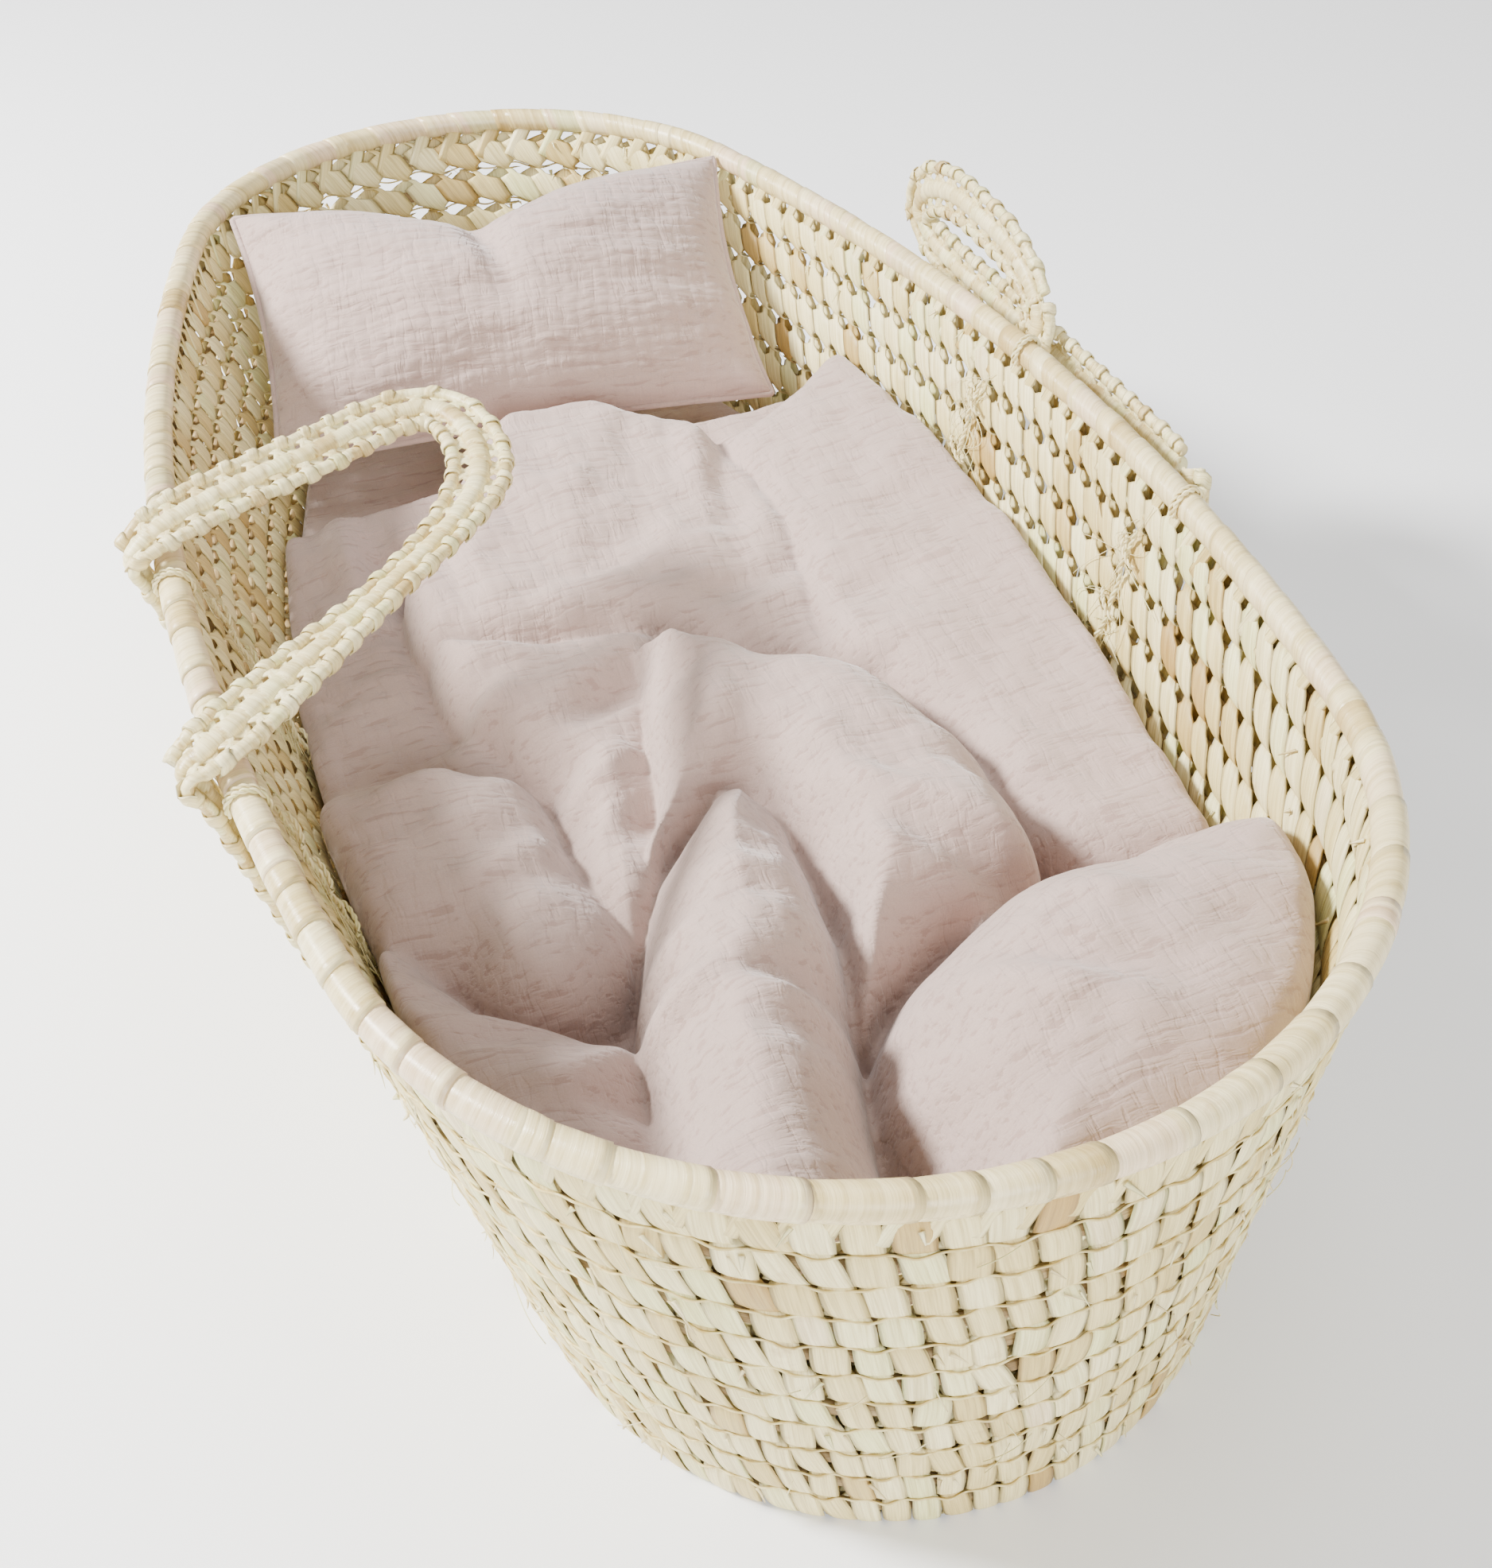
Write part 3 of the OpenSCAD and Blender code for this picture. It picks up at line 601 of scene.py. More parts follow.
# ---------------------------------------------------------------- straps
HINGE_X = HALF_W + 12 * MM
LEFT_Y, RIGHT_Y = -31 * MM, 16 * MM
LEFT_Z, RIGHT_Z = RIM_Z + 8 * MM, RIM_Z + 3 * MM
CORE_R, EDGE_R, SPACING = 4 * MM, 2.5 * MM, 11 * MM
LEG_LOW = 46 * MM


def wall_x(y, z):
    """Distance of the wall's middle from the centre plane, on either long side."""
    along = y - SHIFT * z / RIM_Z - side_y
    return math.sqrt((side_r - inset_at(z)) ** 2 - along**2) - side_x


def leg_points(y, top, sign):
    """From the lower end of a sewn leg up to its top, as [x, y, z]."""
    half = SPACING + EDGE_R
    x1 = max(wall_x(y - half, RIM_Z), wall_x(y + half, RIM_Z)) + RIM_R + 0.3 * MM + CORE_R
    x0 = wall_x(y, LEG_LOW) + 4.5 * MM + 0.3 * MM + CORE_R + 1.5 * MM
    t = np.linspace(0, 1, 9)
    return np.stack([sign * (x0 + (x1 - x0) * t), y + 0 * t, LEG_LOW + (top - LEG_LOW) * t], -1)


# rows of a strap's path in millimetres: towards the basket's middle, along it and up from
# the hinge; then the direction across the strap, and how far its cords are spread
LEFT_PATH = [
    (0, 71, 0, 0, 1, 0, 1), (18, 79, 7, -0.2, 1, 0.1, 1.1), (49, 94, 8, -0.4, 0.9, 0.1, 1.15),
    (83, 110, 7, -0.4, 0.9, 0.1, 1.15), (117, 128, 6, -0.3, 1, 0.1, 1.1),
    (139, 127, 5, 0.5, 0.8, 0.1, 1), (147, 101, 4, 1, 0.2, 0, 1), (141, 67, 4, 0.9, -0.3, 0, 1),
    (119, 33, 5, 0.7, -0.5, 0.2, 0.9), (84, -3, 6, 0.6, -0.6, 0.3, 0.9),
    (48, -36, 7, 0.6, -0.8, 0.2, 1.1), (18, -62, 6, 0.3, -1, 0, 1.1), (0, -71, 0, 0, -1, 0, 1),
]
RIGHT_PATH = [
    (0, 64, 0, 0, -1, 0, 1), (-1, 68, 9, 0, -1, 0.4, 1), (-1, 80, 18, 0, -0.8, 0.7, 1),
    (-1, 101, 25, 0, -0.3, 1, 1), (-1, 130, 27, 0, 0, 1, 1), (-1, 160, 26, 0, 0.3, 1, 1),
    (-1, 186, 18, 0, 0.7, 0.8, 1), (-2, 200, 3, 0, 1, 0, 1), (-4, 188, -9, 0, 0.7, -0.8, 1),
    (-6, 160, -14, 0, 0.1, -1, 1), (-8, 120, -15, 0, 0, -1, 1), (-9, 64, -15, 0, 0, -1, 1),
    (-9, 20, -15, 0, 0, -1, 1), (-9, -10, -14, 0, 0, -1, 0.9), (-9, -36, -13, 0, 0.1, -1, 0.8),
    (-7, -56, -11, 0, 0.3, -1, 0.7), (-1, -72, -2, 0, 0.8, -0.6, 0.6),
]


def rows_of(path, sign, y, z):
    """Control rows as centre, direction across and spread."""
    p = np.array(path, float)
    xyz = np.stack([sign * (HINGE_X - p[:, 0] * MM), y + p[:, 1] * MM, z + p[:, 2] * MM], -1)
    across = np.stack([-sign * p[:, 3], p[:, 4], p[:, 5]], -1)
    return np.concatenate([xyz, across, p[:, 6:]], 1)


def leg_rows(y, top, sign, across_y, down=False):
    """Control rows of a sewn leg, upward or downward."""
    xyz = leg_points(y, top, sign)
    rows = np.concatenate([xyz, np.tile([0, across_y, 0, 1], (len(xyz), 1))], 1)
    return rows[::-1] if down else rows


def smooth_rows(rows, step=0.0011):
    """Catmull-Rom through the rows, resampled at an even step."""
    p = np.concatenate([rows[:1], rows, rows[-1:]])
    t = np.linspace(0, 1, 24, endpoint=False)[:, None]
    out = []
    for a, b, c, d in zip(p[:-3], p[1:-2], p[2:-1], p[3:]):
        out.append(catmull_rom(a, b, c, d, t))
    q = np.concatenate(out + [rows[-1:]])
    length = lengths(q[:, :3])
    s = np.linspace(0, length[-1], int(length[-1] / step) + 1)
    q = np.stack([np.interp(s, length, q[:, i]) for i in range(7)], -1)
    tan = unit(np.gradient(q[:, :3], axis=0))
    across = unit(q[:, 3:6] - (q[:, 3:6] * tan).sum(1, keepdims=True) * tan)
    return s, q[:, :3], across, np.cross(tan, across), q[:, 6]


def wrapped_cord(bag, track, offset, radius, pitch, sides=14, flat=1.0, phase=0.0):
    """A cord under a leaf wrapped round and round it, each turn lapping the last."""
    s, mid, across, normal, spread = track
    centre = mid + across * (offset * spread)[:, None]
    a = np.arange(sides) * 2 * math.pi / sides
    turn = s[:, None] / pitch + a[None] / (2 * math.pi) + phase + 0.1 * np.sin(s[:, None] * 90)
    cell = np.floor(turn).astype(int)
    frac = turn - cell
    tones = RNG.beta(2.2, 1.7, cell.max() - cell.min() + 1)
    lapped = frac < 0.10
    # painted shade: each turn is darker where it tucks under the end of the turn before
    tone = tones[cell - cell.min()] - 0.35 * lapped
    r = radius * (0.90 + 0.15 * frac - 0.05 * lapped)
    pts = centre[:, None] + r[..., None] * (
        np.cos(a)[None, :, None] * across[:, None] + flat * np.sin(a)[None, :, None] * normal[:, None]
    )
    bag.grid(pts, np.clip(tone, 0, 1), fibres(radius * a[None], s[:, None], 0.002 * cell))


def plait(bag, track, side, start=0.0, pitch=0.0135):
    """Openwork between the middle cord and one edge cord: strips that cross, over and under."""
    s, mid, across, normal, spread = track
    inner, outer = CORE_R * 0.55, SPACING - EDGE_R * 0.2
    for j, lead in enumerate((0.0, 0.5)):
        t = np.mod(s / pitch + lead + start, 1.0)
        tri = 1 - np.abs(2 * t - 1)
        eased = 0.5 - 0.5 * np.cos(math.pi * tri)
        off = side * (inner + (outer - inner) * (0.65 * tri + 0.35 * eased)) * spread
        over = (1 if j else -1) * np.where(t < 0.5, 1, -1)
        over = np.convolve(np.pad(over, 3, mode="edge"), np.ones(7) / 7, "valid") * 0.0011
        path = mid + across * off[:, None] + normal * (over + side * 0.0001)[:, None]
        tone = np.interp(s, np.linspace(0, s[-1], 90), RNG.beta(2, 1.6, 90))
        tube(bag, path, 0.0019, 8, tone, normal=normal, flat=0.30)
    # knots along the edge cord where the strips turn round it
    for c in np.arange(pitch / 2 + start * pitch, s[-1] - 0.002, pitch):
        i = int(np.searchsorted(s, c))
        if i + 4 >= len(s):
            break
        ang = np.linspace(-0.6, 2 * math.pi - 1.2, 12)
        r = EDGE_R * 1.26
        k = np.clip(i + np.linspace(0, 3, 12).astype(int), 0, len(s) - 1)
        centre = mid[k] + across[k] * (side * SPACING * spread[k])[:, None]
        path = centre + r * (
            -side * np.cos(ang)[:, None] * across[k] + np.sin(ang)[:, None] * normal[k]
        )
        out = unit(path - centre)
        tube(bag, path, RNG.uniform(0.0022, 0.0032), 6, RNG.beta(2.2, 1.6), normal=out, flat=0.16)


def strap(name, rows, body="basket", bend=None, nodes=None):
    """Three pieces: the middle cord, the two edge cords and the openwork."""
    track = smooth_rows(rows)
    for part, slot in (("core", "palm_wrap"), ("edges", "palm_wrap"), ("plait", "palm_coil")):
        bag = Bag()
        for side in (-1, 1):
            if part == "edges":
                offset = side * (SPACING - 0.0004)
                wrapped_cord(bag, track, offset, EDGE_R * 1.18, 0.0082, 12, 0.85, 0.4 * side)
            elif part == "plait":
                plait(bag, track, side, 0.25 * (side > 0))
        if part == "core":
            wrapped_cord(bag, track, 0, CORE_R * 1.16, 0.0115, 18, flat=0.72)
        obj = bag.make(f"{name}_{part}", MAT_CORD, None if bend else body, slot)
        if bend:
            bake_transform(obj)
        if nodes:
            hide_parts(*nodes[part])


LEFT_BACK, LEFT_FRONT = LEFT_Y + 71 * MM, LEFT_Y - 71 * MM
RIGHT_BACK, RIGHT_FRONT = RIGHT_Y + 64 * MM, RIGHT_Y - 77 * MM
left_top, right_top = LEFT_Z - 10 * MM, RIGHT_Z - 12 * MM
rows = np.concatenate([
    leg_rows(LEFT_BACK, left_top, -1, 1),
    rows_of(LEFT_PATH, -1, LEFT_Y, LEFT_Z),
    leg_rows(LEFT_FRONT, left_top, -1, -1, True),
])
strap(
    "left_strap_visual", rows, "left_strap",
    bend=((-0.212, LEFT_Y, 0.199), (-0.205, LEFT_Y, 0.2145)),
    nodes={
        "core": ("left_strap_core", "left_back_leg"),
        "edges": ("left_strap_edges", "left_front_leg"),
        "plait": ("left_strap_plait",),
    },
)
right_rows = rows_of(RIGHT_PATH, 1, RIGHT_Y, RIGHT_Z)
strap(
    "right_strap_visual", right_rows[1:-1], "right_strap",
    nodes={
        "core": ("right_strap_core",),
        "edges": ("right_strap_edges",),
        "plait": ("right_strap_plait",),
    },
)
back_leg = leg_rows(RIGHT_BACK, right_top, 1, -1)
front_leg = leg_rows(RIGHT_FRONT, right_top, 1, -1)
none = {"core": (), "edges": (), "plait": ()}
strap("right_back_leg_visual", back_leg, nodes={**none, "core": ("right_back_leg",)})
strap("right_front_leg_visual", front_leg, nodes={**none, "core": ("right_front_leg",)})
back_root = np.concatenate([back_leg[-2:], right_rows[:2]])
front_root = np.concatenate([front_leg[-2:], right_rows[-1:]])
front_root[:, 3:6] = (0, -1, 0)
front_root[-1, 3:] = (0, -0.75, 0.65, 0.7)
for name, root, y, low, high in (
    ("right_back_root", back_root, RIGHT_BACK, 0.196, 0.213),
    ("right_front_root", front_root, RIGHT_FRONT, 0.194, 0.204),
):
    strap(name, root, "right_strap", bend=((0.212, y, low), (0.212, y, high)))


# ---------------------------------------------------------------- twine
def twisted(bag, path, radius=0.0011, strands=2, pitch=0.007):
    """Strands laid round each other along a path."""
    length = lengths(path)
    s = np.arange(0, length[-1], 0.0009)
    q = np.stack([np.interp(s, length, path[:, i]) for i in range(3)], -1)
    tan = unit(np.gradient(q, axis=0))
    u = unit(np.cross(tan, [0.31, 0.83, 0.46]))
    w = np.cross(tan, u)
    for k in range(strands):
        a = 2 * math.pi * (s / pitch + k / strands)
        p = q + 0.52 * radius * (np.cos(a)[:, None] * u + np.sin(a)[:, None] * w)
        tube(bag, p, radius * 0.56, 6, RNG.uniform(0.3, 1.0), normal=u)


def twine():
    """The lacing that sews the legs to the wall, its loose fibres and the ties over the rim."""
    lacing = {"left": Bag(), "right": Bag()}
    ties = {"left": Bag(), "right": Bag()}
    for side, sign, ys in (
        ("left", -1, (LEFT_BACK, LEFT_FRONT)), ("right", 1, (RIGHT_BACK, RIGHT_FRONT)),
    ):
        for y in ys:
            z = np.linspace(0.182, 0.062, 34)
            x = np.array([wall_x(y, v) for v in z]) - 0.0066 - 0.0006 * np.sin(z * 350)
            path = np.stack([sign * x, y + 0.0012 * np.sin(z * 120), z], -1)
            twisted(lacing[side], path)
            for i in range(5):
                zc = 0.072 + 0.100 * i / 4
                t = np.linspace(-1, 1, 12)
                xs = np.array([wall_x(y + 0.007 * v, zc + 0.004 * v) for v in t])
                xs = xs - 0.0066 - 0.0026 * np.sqrt(np.clip(1 - t * t, 0, 1))
                twisted(lacing[side], np.stack([sign * xs, y + 0.007 * t, zc + 0.004 * t], -1), 0.0010)
            for _ in range(26):
                t = np.linspace(0, 1, 14)
                z0, bend = RNG.uniform(0.09, 0.195), RNG.normal(0, 1, 4)
                length = RNG.uniform(0.02, 0.06)
                zz = np.clip(z0 - length * t * RNG.uniform(0.3, 1), 0.07, 0.2)
                yy = y + 0.012 * bend[0] * t + 0.010 * bend[1] * np.sin(t * 4 + bend[2])
                xs = np.array([wall_x(a, b) for a, b in zip(yy, zz)])
                xs = xs - 0.0052 - 0.0014 * np.sin(t * 3) * RNG.uniform(0.3, 1)
                tube(lacing[side], np.stack([sign * xs, yy, zz], -1), 0.00020, 3, RNG.uniform(0.5, 1))
            # turns round the rim beside the leg
            gap = SPACING + EDGE_R + 0.0042
            yt = y - gap
            for turn in (0, 1):
                a = np.radians(np.linspace(-118, 118, 40))
                r = RIM_R + 0.0013
                slope = math.atan2(yt - SHIFT - side_y, side_x + HALF_W)
                centre = np.array([wall_x(yt, RIM_Z), yt + 0.0024 * turn, RIM_Z])
                out = r * np.sin(a)
                along = out * math.sin(slope) + 0.0016 * np.sin(a)
                path = centre + np.stack([out * math.cos(slope), along, r * np.cos(a)], -1)
                path[:, 0] *= sign
                twisted(ties[side], path, 0.0011)
    for side in ("left", "right"):
        obj = lacing[side].make(f"{side}_lacing_visual", MAT_TWINE, "basket", "twine")
        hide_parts(f"{side}_leg_lacing")
        obj = ties[side].make(f"{side}_rim_ties_visual", MAT_TWINE, "basket", "twine")
        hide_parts(f"{side}_rim_ties")


twine()


# ---------------------------------------------------------------- bedding
def noise2(x, y, size, seed):
    """Smooth random hills, about -1 to 1, with the given size."""
    rng = np.random.default_rng(seed)
    table = rng.uniform(-1, 1, (64, 64))
    u, v = np.asarray(x) / size + 17.3, np.asarray(y) / size + 9.7
    i, j = np.floor(u).astype(int), np.floor(v).astype(int)
    fu, fv = u - i, v - j
    fu, fv = fu * fu * (3 - 2 * fu), fv * fv * (3 - 2 * fv)
    i0, i1, j0, j1 = i % 64, (i + 1) % 64, j % 64, (j + 1) % 64
    top = table[i0, j0] * (1 - fu) + table[i1, j0] * fu
    low = table[i0, j1] * (1 - fu) + table[i1, j1] * fu
    return top * (1 - fv) + low * fv


def crinkle(x, y):
    """The muslin's puckered squares, in millimetres of relief."""
    wx = x + 2.4 * noise2(x, y, 17, 3)
    wy = y + 2.4 * noise2(x, y, 17, 4)
    cells = np.abs(np.sin(wx * math.pi / 8.5)) ** 0.7 * np.abs(np.sin(wy * math.pi / 5.4)) ** 0.7
    return 0.5 * cells - 0.3 + 0.3 * noise2(x * 0.4, y, 4, 5) + 0.9 * noise2(x * 0.35, y, 8, 8)


LOBES = [
    # top height, slope over x and y, middle of the slope, valley height, rounding, outline
    (106, 0.06, 0.02, (-120, 60), 84, 24, [
        (-160, 318), (-20, 316), (150, 318), (176, 250), (176, 120), (60, 100), (-82, 153),
        (-99, 91), (-99, 37), (-75, -9), (-107, -51), (-152, -73), (-180, -27), (-185, 67),
        (-180, 188)]),
    (128, 0.02, 0.13, (-10, 40), 92, 26, [
        (-38, 200), (-17, 221), (12, 226), (46, 200), (70, 176), (92, 120), (92, 42), (72, -22),
        (26, 13), (-7, 37), (-56, 48), (-104, 54), (-96, 108), (-70, 160)]),
    (150, 0.14, 0.07, (150, 100), 88, 26, [
        (64, 150), (102, 163), (160, 208), (184, 190), (184, 71), (182, 3), (178, -79),
        (170, -143), (162, -192), (120, -182), (89, -137), (90, -89), (79, -51), (60, -24),
        (66, 35), (69, 93)]),
    (116, -0.14, 0.15, (-30, 0), 74, 30, [
        (-101, 62), (-54, 56), (-4, 46), (18, 22), (-10, -52), (-46, -112), (-70, -137),
        (-80, -102), (-74, -41), (-89, -14), (-104, 18)]),
    (122, 0.0, 0.05, (-120, -80), 68, 40, [
        (-184, -24), (-149, -5), (-110, -8), (-78, -28), (-74, -71), (-70, -107), (-70, -136),
        (-97, -160), (-120, -158), (-143, -134), (-175, -118), (-185, -66)]),
    (152, 0.0, -0.08, (-50, -200), 62, 52, [
        (-88, -198), (-76, -161), (-58, -122), (-36, -90), (-9, -73), (12, -90), (10, -138),
        (3, -182), (-9, -228), (-20, -262), (-29, -298), (-32, -352), (-80, -350), (-118, -320),
        (-108, -263), (-97, -233)]),
    (132, -0.05, 0.0, (-130, -190), 62, 46, [
        (-180, -118), (-154, -104), (-136, -140), (-118, -162), (-98, -178), (-80, -192),
        (-80, -239), (-84, -300), (-98, -345), (-130, -320), (-160, -270), (-178, -200)]),
    (146, 0.05, 0.05, (40, -60), 78, 40, [
        (-16, 22), (23, 5), (57, -20), (80, -47), (95, -89), (96, -134), (88, -178), (45, -188),
        (12, -200), (-3, -214), (2, -184), (8, -149), (6, -107), (-9, -81), (-32, -86),
        (-50, -98), (-34, -62), (-24, -19)]),
    (168, 0.02, 0.05, (70, -240), 58, 66, [
        (-6, -227), (11, -206), (39, -192), (71, -183), (102, -183), (146, -186), (176, -200),
        (180, -268), (150, -310), (110, -340), (54, -352), (0, -356), (-26, -350), (-27, -313),
        (-20, -280), (-16, -253)]),
]


# wrinkles that run out of the deep folds: middle, reach, height, direction and seed
WRINKLES = (
    ((-60, -20), 80, 9.0, 0.5, 21), ((-30, -100), 60, 8.0, 1.2, 22),
    ((60, -190), 80, 11.0, -0.7, 23), ((-110, -170), 65, 9.0, 0.3, 24),
    ((60, 130), 60, 7.0, 1.3, 25), ((20, 30), 70, 6.0, 0.2, 26),
    ((-60, -190), 60, 8.0, -0.2, 27), ((-130, 120), 80, 7.0, 1.5, 28),
)
FOLD_MAX = 176
HEAD_END = 318  # where the quilt stops under the pillow
QUILT_GAP = 2.5
QUILT_LOW = 55.5


def rounded(outline, per=8):
    """A closed outline with its corners rounded off."""
    p = np.array(outline, float)
    t = np.linspace(0, 1, per, endpoint=False)[:, None, None]
    a, b, c, d = np.roll(p, 1, 0), p, np.roll(p, -1, 0), np.roll(p, -2, 0)
    return catmull_rom(a, b, c, d, t).transpose(1, 0, 2).reshape(-1, 2)


def inside_distance(x, y, outline):
    """How far each point is inside an outline, negative outside it."""
    best = np.full(x.shape, 1e9)
    inside = np.zeros(x.shape, bool)
    for (ax, ay), (bx, by) in zip(outline, np.roll(outline, -1, 0)):
        ex, ey = bx - ax, by - ay
        t = np.clip(((x - ax) * ex + (y - ay) * ey) / max(ex * ex + ey * ey, 1e-9), 0, 1)
        best = np.minimum(best, (x - ax - t * ex) ** 2 + (y - ay - t * ey) ** 2)
        crosses = (ay > y) != (by > y)
        if ay != by:
            inside ^= crosses & (x < (bx - ax) * (y - ay) / (by - ay) + ax)
    return np.where(inside, np.sqrt(best), -np.sqrt(best))


def quilt_top(x, y):
    """Height of the quilt's upper surface over the plan, in millimetres."""
    wx = x + 4.0 * noise2(x, y, 46, 11)
    wy = y + 4.0 * noise2(x, y, 46, 12)
    z = np.full(x.shape, 68.0)
    for top, gx, gy, (mx, my), valley, width, outline in LOBES:
        d = inside_distance(wx, wy, rounded(outline))
        t = np.clip((d + 3) / width, 0, 1)
        peak = top + gx * (x - mx) + gy * (y - my)
        lobe = valley + (peak - valley) * np.sqrt(np.clip(1 - (1 - t) ** 2, 0, 1))
        z = np.where(d > -3, np.maximum(z, lobe), z)
    for (px, py), reach, height, turn, seed in WRINKLES:
        ca, sa = math.cos(turn), math.sin(turn)
        u, v = (x - px) * ca + (y - py) * sa, -(x - px) * sa + (y - py) * ca
        near = np.exp(-(((x - px) ** 2 + (y - py) ** 2) / reach**2))
        z = z + height * near * noise2(u * 0.28, v, 15, seed)
    z = z + 2.6 * noise2(x, y, 38, 13) + 1.3 * noise2(x, y, 16, 14)
    return np.minimum(z, FOLD_MAX)


def bed_edge(s, z, gap):
    """The bedding's outline at a height, inside the wall, in millimetres."""
    p = place(s, inset_at(z * MM) + (4.5 + gap) * MM, z * MM)
    return p[..., 0] / MM, p[..., 1] / MM


def quilt():
    """A heap of soft lobes with a rolled edge, closed by a skirt down to the mattress."""
    around, rings = 590, 150
    s = np.linspace(0, TOTAL, around, endpoint=False)
    ex, ey = bed_edge(s, 112.0, QUILT_GAP)
    ey = np.minimum(ey, HEAD_END)
    r = np.linspace(1, 0.004, rings)[:, None]
    x, y = ex * r, ey * r
    z = quilt_top(x, y)
    tail = np.clip((y - 196) / 22, 0, 1)
    z = z * (1 - tail) + np.minimum(z, 91) * tail
    for _ in range(2):
        beside = np.roll(z, 1, 1) + np.roll(z, -1, 1) + 2 * z
        z[1:-1] = (beside + np.roll(z, 1, 0) + np.roll(z, -1, 0))[1:-1] / 6
    # the edge rolls over and down to the mattress
    inward = (1 - r) * np.hypot(ex, ey)[None]
    drop = np.sqrt(np.clip(1 - (1 - np.clip(inward / 13, 0, 1)) ** 2, 0, 1))
    z = z - 11 * (1 - drop)
    run = np.hypot(np.gradient(x, axis=0), np.gradient(y, axis=0))
    steep = np.gradient(z, axis=0) / np.maximum(run, 0.3)
    z = z + crinkle(x, y) * 0.9 / np.sqrt(1 + steep * steep)
    # follow the leaning wall where the surface is above or below the height its outline was taken at
    lean = r**3
    sx, sy = bed_edge(s[None], z, QUILT_GAP)
    x = x * (1 - lean) + sx * r * lean
    y = y * (1 - lean) + np.minimum(sy, HEAD_END) * r * lean
    skirt_t = np.linspace(0, 1, 9)[1:][:, None]
    skirt_z = z[0] + (QUILT_LOW - z[0]) * skirt_t
    bx, by = bed_edge(s[None], skirt_z, QUILT_GAP)
    belly = 1 - 0.012 * (1 - np.sin(math.pi * (0.15 + 0.7 * skirt_t)))
    px = np.concatenate([(bx * belly)[::-1], x])
    py = np.concatenate([(np.minimum(by, HEAD_END) * belly)[::-1], y])
    pz = np.concatenate([skirt_z[::-1], z])
    pts = np.stack([px, py, pz], -1) * MM
    bag = Bag()
    bag.grid(pts, 0.5, pts)
    obj = bag.make("quilt_visual", MAT_MUSLIN, "basket", "muslin")
    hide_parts("quilt")


PILLOW_SIZE = (262, 144, 84)
PILLOW_AT = (3, 282, 162)
PILLOW_TURN, PILLOW_LEAN = math.radians(-6), math.radians(35)


def pillow():
    """Two puffed faces with a crease in the front of the top one, and a piped seam."""
    n = 220
    u, v = np.meshgrid(np.linspace(-1, 1, n), np.linspace(-1, 1, n), indexing="ij")
    length, depth, thick = PILLOW_SIZE
    crown = (np.clip(1 - np.abs(u) ** 2.2, 0, 1) * np.clip(1 - np.abs(v) ** 2.2, 0, 1)) ** 0.55
    crease = u + 0.06
    dip = np.exp(-((crease / 0.34) ** 2))
    narrow = np.exp(-(((crease - 0.05 * (1 - v)) / 0.075) ** 2)) * np.clip((v + 0.35) / 1.0, 0, 1)
    hollow = np.clip((v + 0.2) / 1.2, 0, 1)
    x = length / 2 * u * (1 - 0.05 * (1 - v * v))
    y = depth / 2 * v * (1 - 0.07 * (1 - u * u)) - 17 * dip * hollow**1.4
    top = 1.3 + (thick / 2 - 3) * crown - 7 * dip * hollow**1.2
    top = top - 13 * narrow * np.clip(crown + 0.25, 0, 1)
    top = top + 1.5 * noise2(x, y, 30, 31) * crown + 1.6 * noise2(x * 0.3, y, 14, 32) * crown**0.5
    gathers = 2.4 * noise2(x * 0.5 + y * 0.3, y * 0.6, 11, 33)
    top = top + gathers * np.exp(-(((1 - np.abs(u)) / 0.18) ** 2))
    top = top + crinkle(x, y) * np.clip(crown * 2, 0, 1)
    under = -(1.3 + (thick / 2 - 3) * crown) - 7 * dip * hollow**1.2
    under = under + 1.5 * noise2(x, y, 30, 34) * crown
    verts = np.concatenate([np.stack([x, y, z], -1).reshape(-1, 3) for z in (top, under)])
    idx = np.arange(n * n).reshape(n, n)
    quads = np.stack([idx[:-1, :-1], idx[1:, :-1], idx[1:, 1:], idx[:-1, 1:]], -1).reshape(-1, 4)
    step = np.arange(n - 1)
    ring = np.concatenate([
        step * n, (n - 1) * n + step, (n - 1 - step) * n + n - 1, n - 1 - step,
    ])
    nxt = np.roll(ring, -1)
    side = np.stack([ring, ring + n * n, nxt + n * n, nxt], -1)
    faces = np.concatenate([quads, (quads + n * n)[:, ::-1], side]).tolist()
    rot = Matrix.Rotation(PILLOW_TURN, 3, "Z") @ Matrix.Rotation(PILLOW_LEAN, 3, "X")
    rot = np.array(rot)
    obj = piece(
        "pillow_visual", (verts @ rot.T + PILLOW_AT) * MM, faces, np.full(len(verts), 0.5),
        verts * MM + 0.37, MAT_MUSLIN, "pillow",
    )
    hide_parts("pillow_cover", "pillow_filling")
    bag = Bag()
    edge = (verts[ring] + verts[ring + n * n]) / 2
    out = unit(edge * [1, 1, 0])
    path = (((edge + out * 0.6) @ rot.T + PILLOW_AT) * MM)[::2]
    tube(bag, path, 0.0019, 8, 0.5, ring=True, normal=np.tile(rot[:, 2], (len(path), 1)))
    bag.make("pillow_seam", MAT_MUSLIN, "pillow", "muslin")


# the mattress's section: height as a share of its thickness, and reach as a share of its outline
MATTRESS_ROWS = [
    (0.0, 0.002), (0.0, 0.5), (0.0, 0.97), (0.08, 0.99), (0.2, 1.0), (0.5, 1.0), (0.8, 1.0),
    (0.92, 0.99), (1.0, 0.97), (1.0, 0.5), (1.0, 0.002),
]


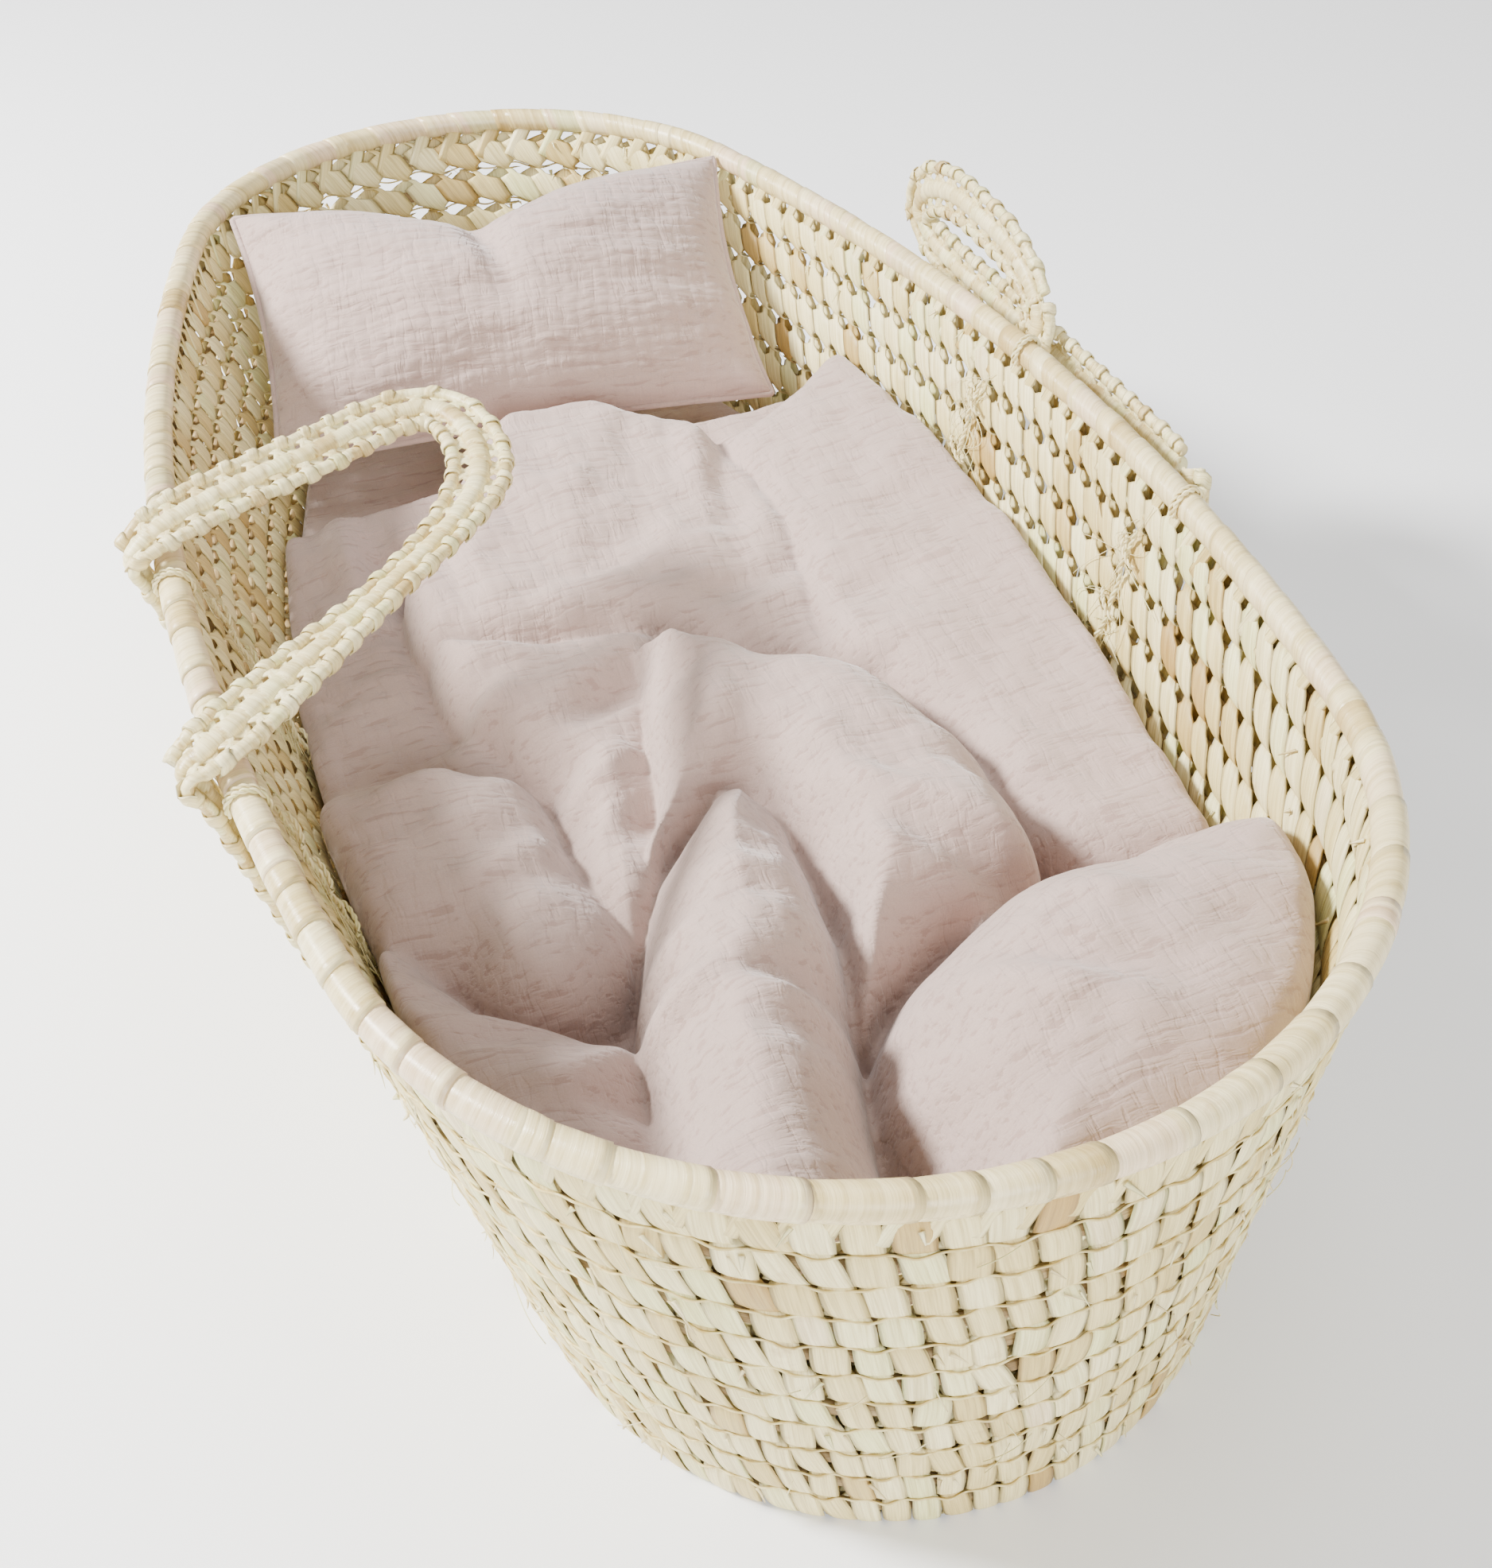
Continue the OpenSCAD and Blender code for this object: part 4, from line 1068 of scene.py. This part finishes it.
def mattress():
    """A thin pad that fills the floor of the basket; only its edge could ever be seen."""
    lo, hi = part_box("mattress_cover")
    z0, z1 = lo.z / MM, hi.z / MM
    s = np.linspace(0, TOTAL, 300, endpoint=False)
    ex, ey = bed_edge(s, z0, 4.0)
    rows = [np.stack([ex * r, ey * r, 0 * s + z0 + (z1 - z0) * t], -1) for t, r in MATTRESS_ROWS]
    bag = Bag()
    pts = np.stack(rows) * MM
    bag.grid(pts, 0.5, pts)
    obj = bag.make("mattress_visual", MAT_MUSLIN, "basket", "muslin")
    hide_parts("mattress_cover", "mattress_foam")


mattress()
quilt()
pillow()

for name in ["base_centre"] + [f"base_coil_{i}" for i in range(1, 5)]:
    obj = bpy.data.objects.get(name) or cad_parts[name]
    for material_slot in obj.material_slots:
        material_slot.material = MAT_BASE


# ---------------------------------------------------------------- floor, light and camera
def stage():
    mat, tree, bsdf = material("floor")
    bsdf.inputs["Base Color"].default_value = (0.93, 0.93, 0.93, 1)
    bsdf.inputs["Roughness"].default_value = 0.9
    bsdf.inputs["Specular IOR Level"].default_value = 0.1
    mesh = bpy.data.meshes.new("floor")
    corners = [(-40, -40, 0), (40, -40, 0), (40, 40, 0), (-40, 40, 0)]
    mesh.from_pydata(corners, [], [(0, 1, 2, 3)])
    mesh.materials.append(mat)
    floor = bpy.data.objects.new("floor", mesh)
    bpy.context.scene.collection.objects.link(floor)


def area(name, at, to, size, power, colour=(1, 1, 1)):
    data = bpy.data.lights.new(name, "AREA")
    data.shape = "DISK"
    data.size = size
    data.energy = power
    data.color = colour
    obj = bpy.data.objects.new(name, data)
    obj.location = at
    obj.rotation_euler = (Vector(to) - Vector(at)).to_track_quat("-Z", "Y").to_euler()
    bpy.context.scene.collection.objects.link(obj)


stage()
world = bpy.data.worlds.new("studio")
world.use_nodes = True
world.node_tree.nodes["Background"].inputs[0].default_value = (1, 1, 1, 1)
world.node_tree.nodes["Background"].inputs[1].default_value = 0.60
bpy.context.scene.world = world
# a bright window high on the left, a broad fill from the front and a little from above
area("key", (-1.6, 0.8, 1.5), (0, 0.0, 0.1), 0.5, 190)
area("fill", (-0.3, -2.4, 1.1), (0, 0, 0.1), 1.4, 78)
area("top", (0.6, 0.5, 2.4), (0, 0.1, 0.1), 1.2, 20)

# solved from the rim, the base and the straps in the photo
AZ, ROLL = 0.353, -0.023
EYE = (-0.2020, -0.6311, 0.6254)
FOCAL, PHOTO_HEIGHT, SENSOR = 2363.5, 1972, 36.0  # focal length and height in pixels, sensor in mm
forward = np.array([0.26095, 0.70900, -0.65515])
forward /= np.linalg.norm(forward)
flat_right = np.array([math.cos(AZ), -math.sin(AZ), 0.0])
flat_up = np.cross(flat_right, forward)
cam_right = math.cos(ROLL) * flat_right + math.sin(ROLL) * flat_up
cam_up = -math.sin(ROLL) * flat_right + math.cos(ROLL) * flat_up
camera_data = bpy.data.cameras.new("camera")
camera_data.sensor_width = SENSOR
camera_data.sensor_fit = "AUTO"
camera_data.lens = FOCAL / PHOTO_HEIGHT * SENSOR
camera_data.clip_start, camera_data.clip_end = 0.01, 100
camera = bpy.data.objects.new("camera", camera_data)
camera.matrix_world = Matrix(
    [[cam_right[i], cam_up[i], -forward[i], EYE[i]] for i in range(3)] + [[0, 0, 0, 1]]
)
bpy.context.scene.collection.objects.link(camera)
bpy.context.scene.camera = camera
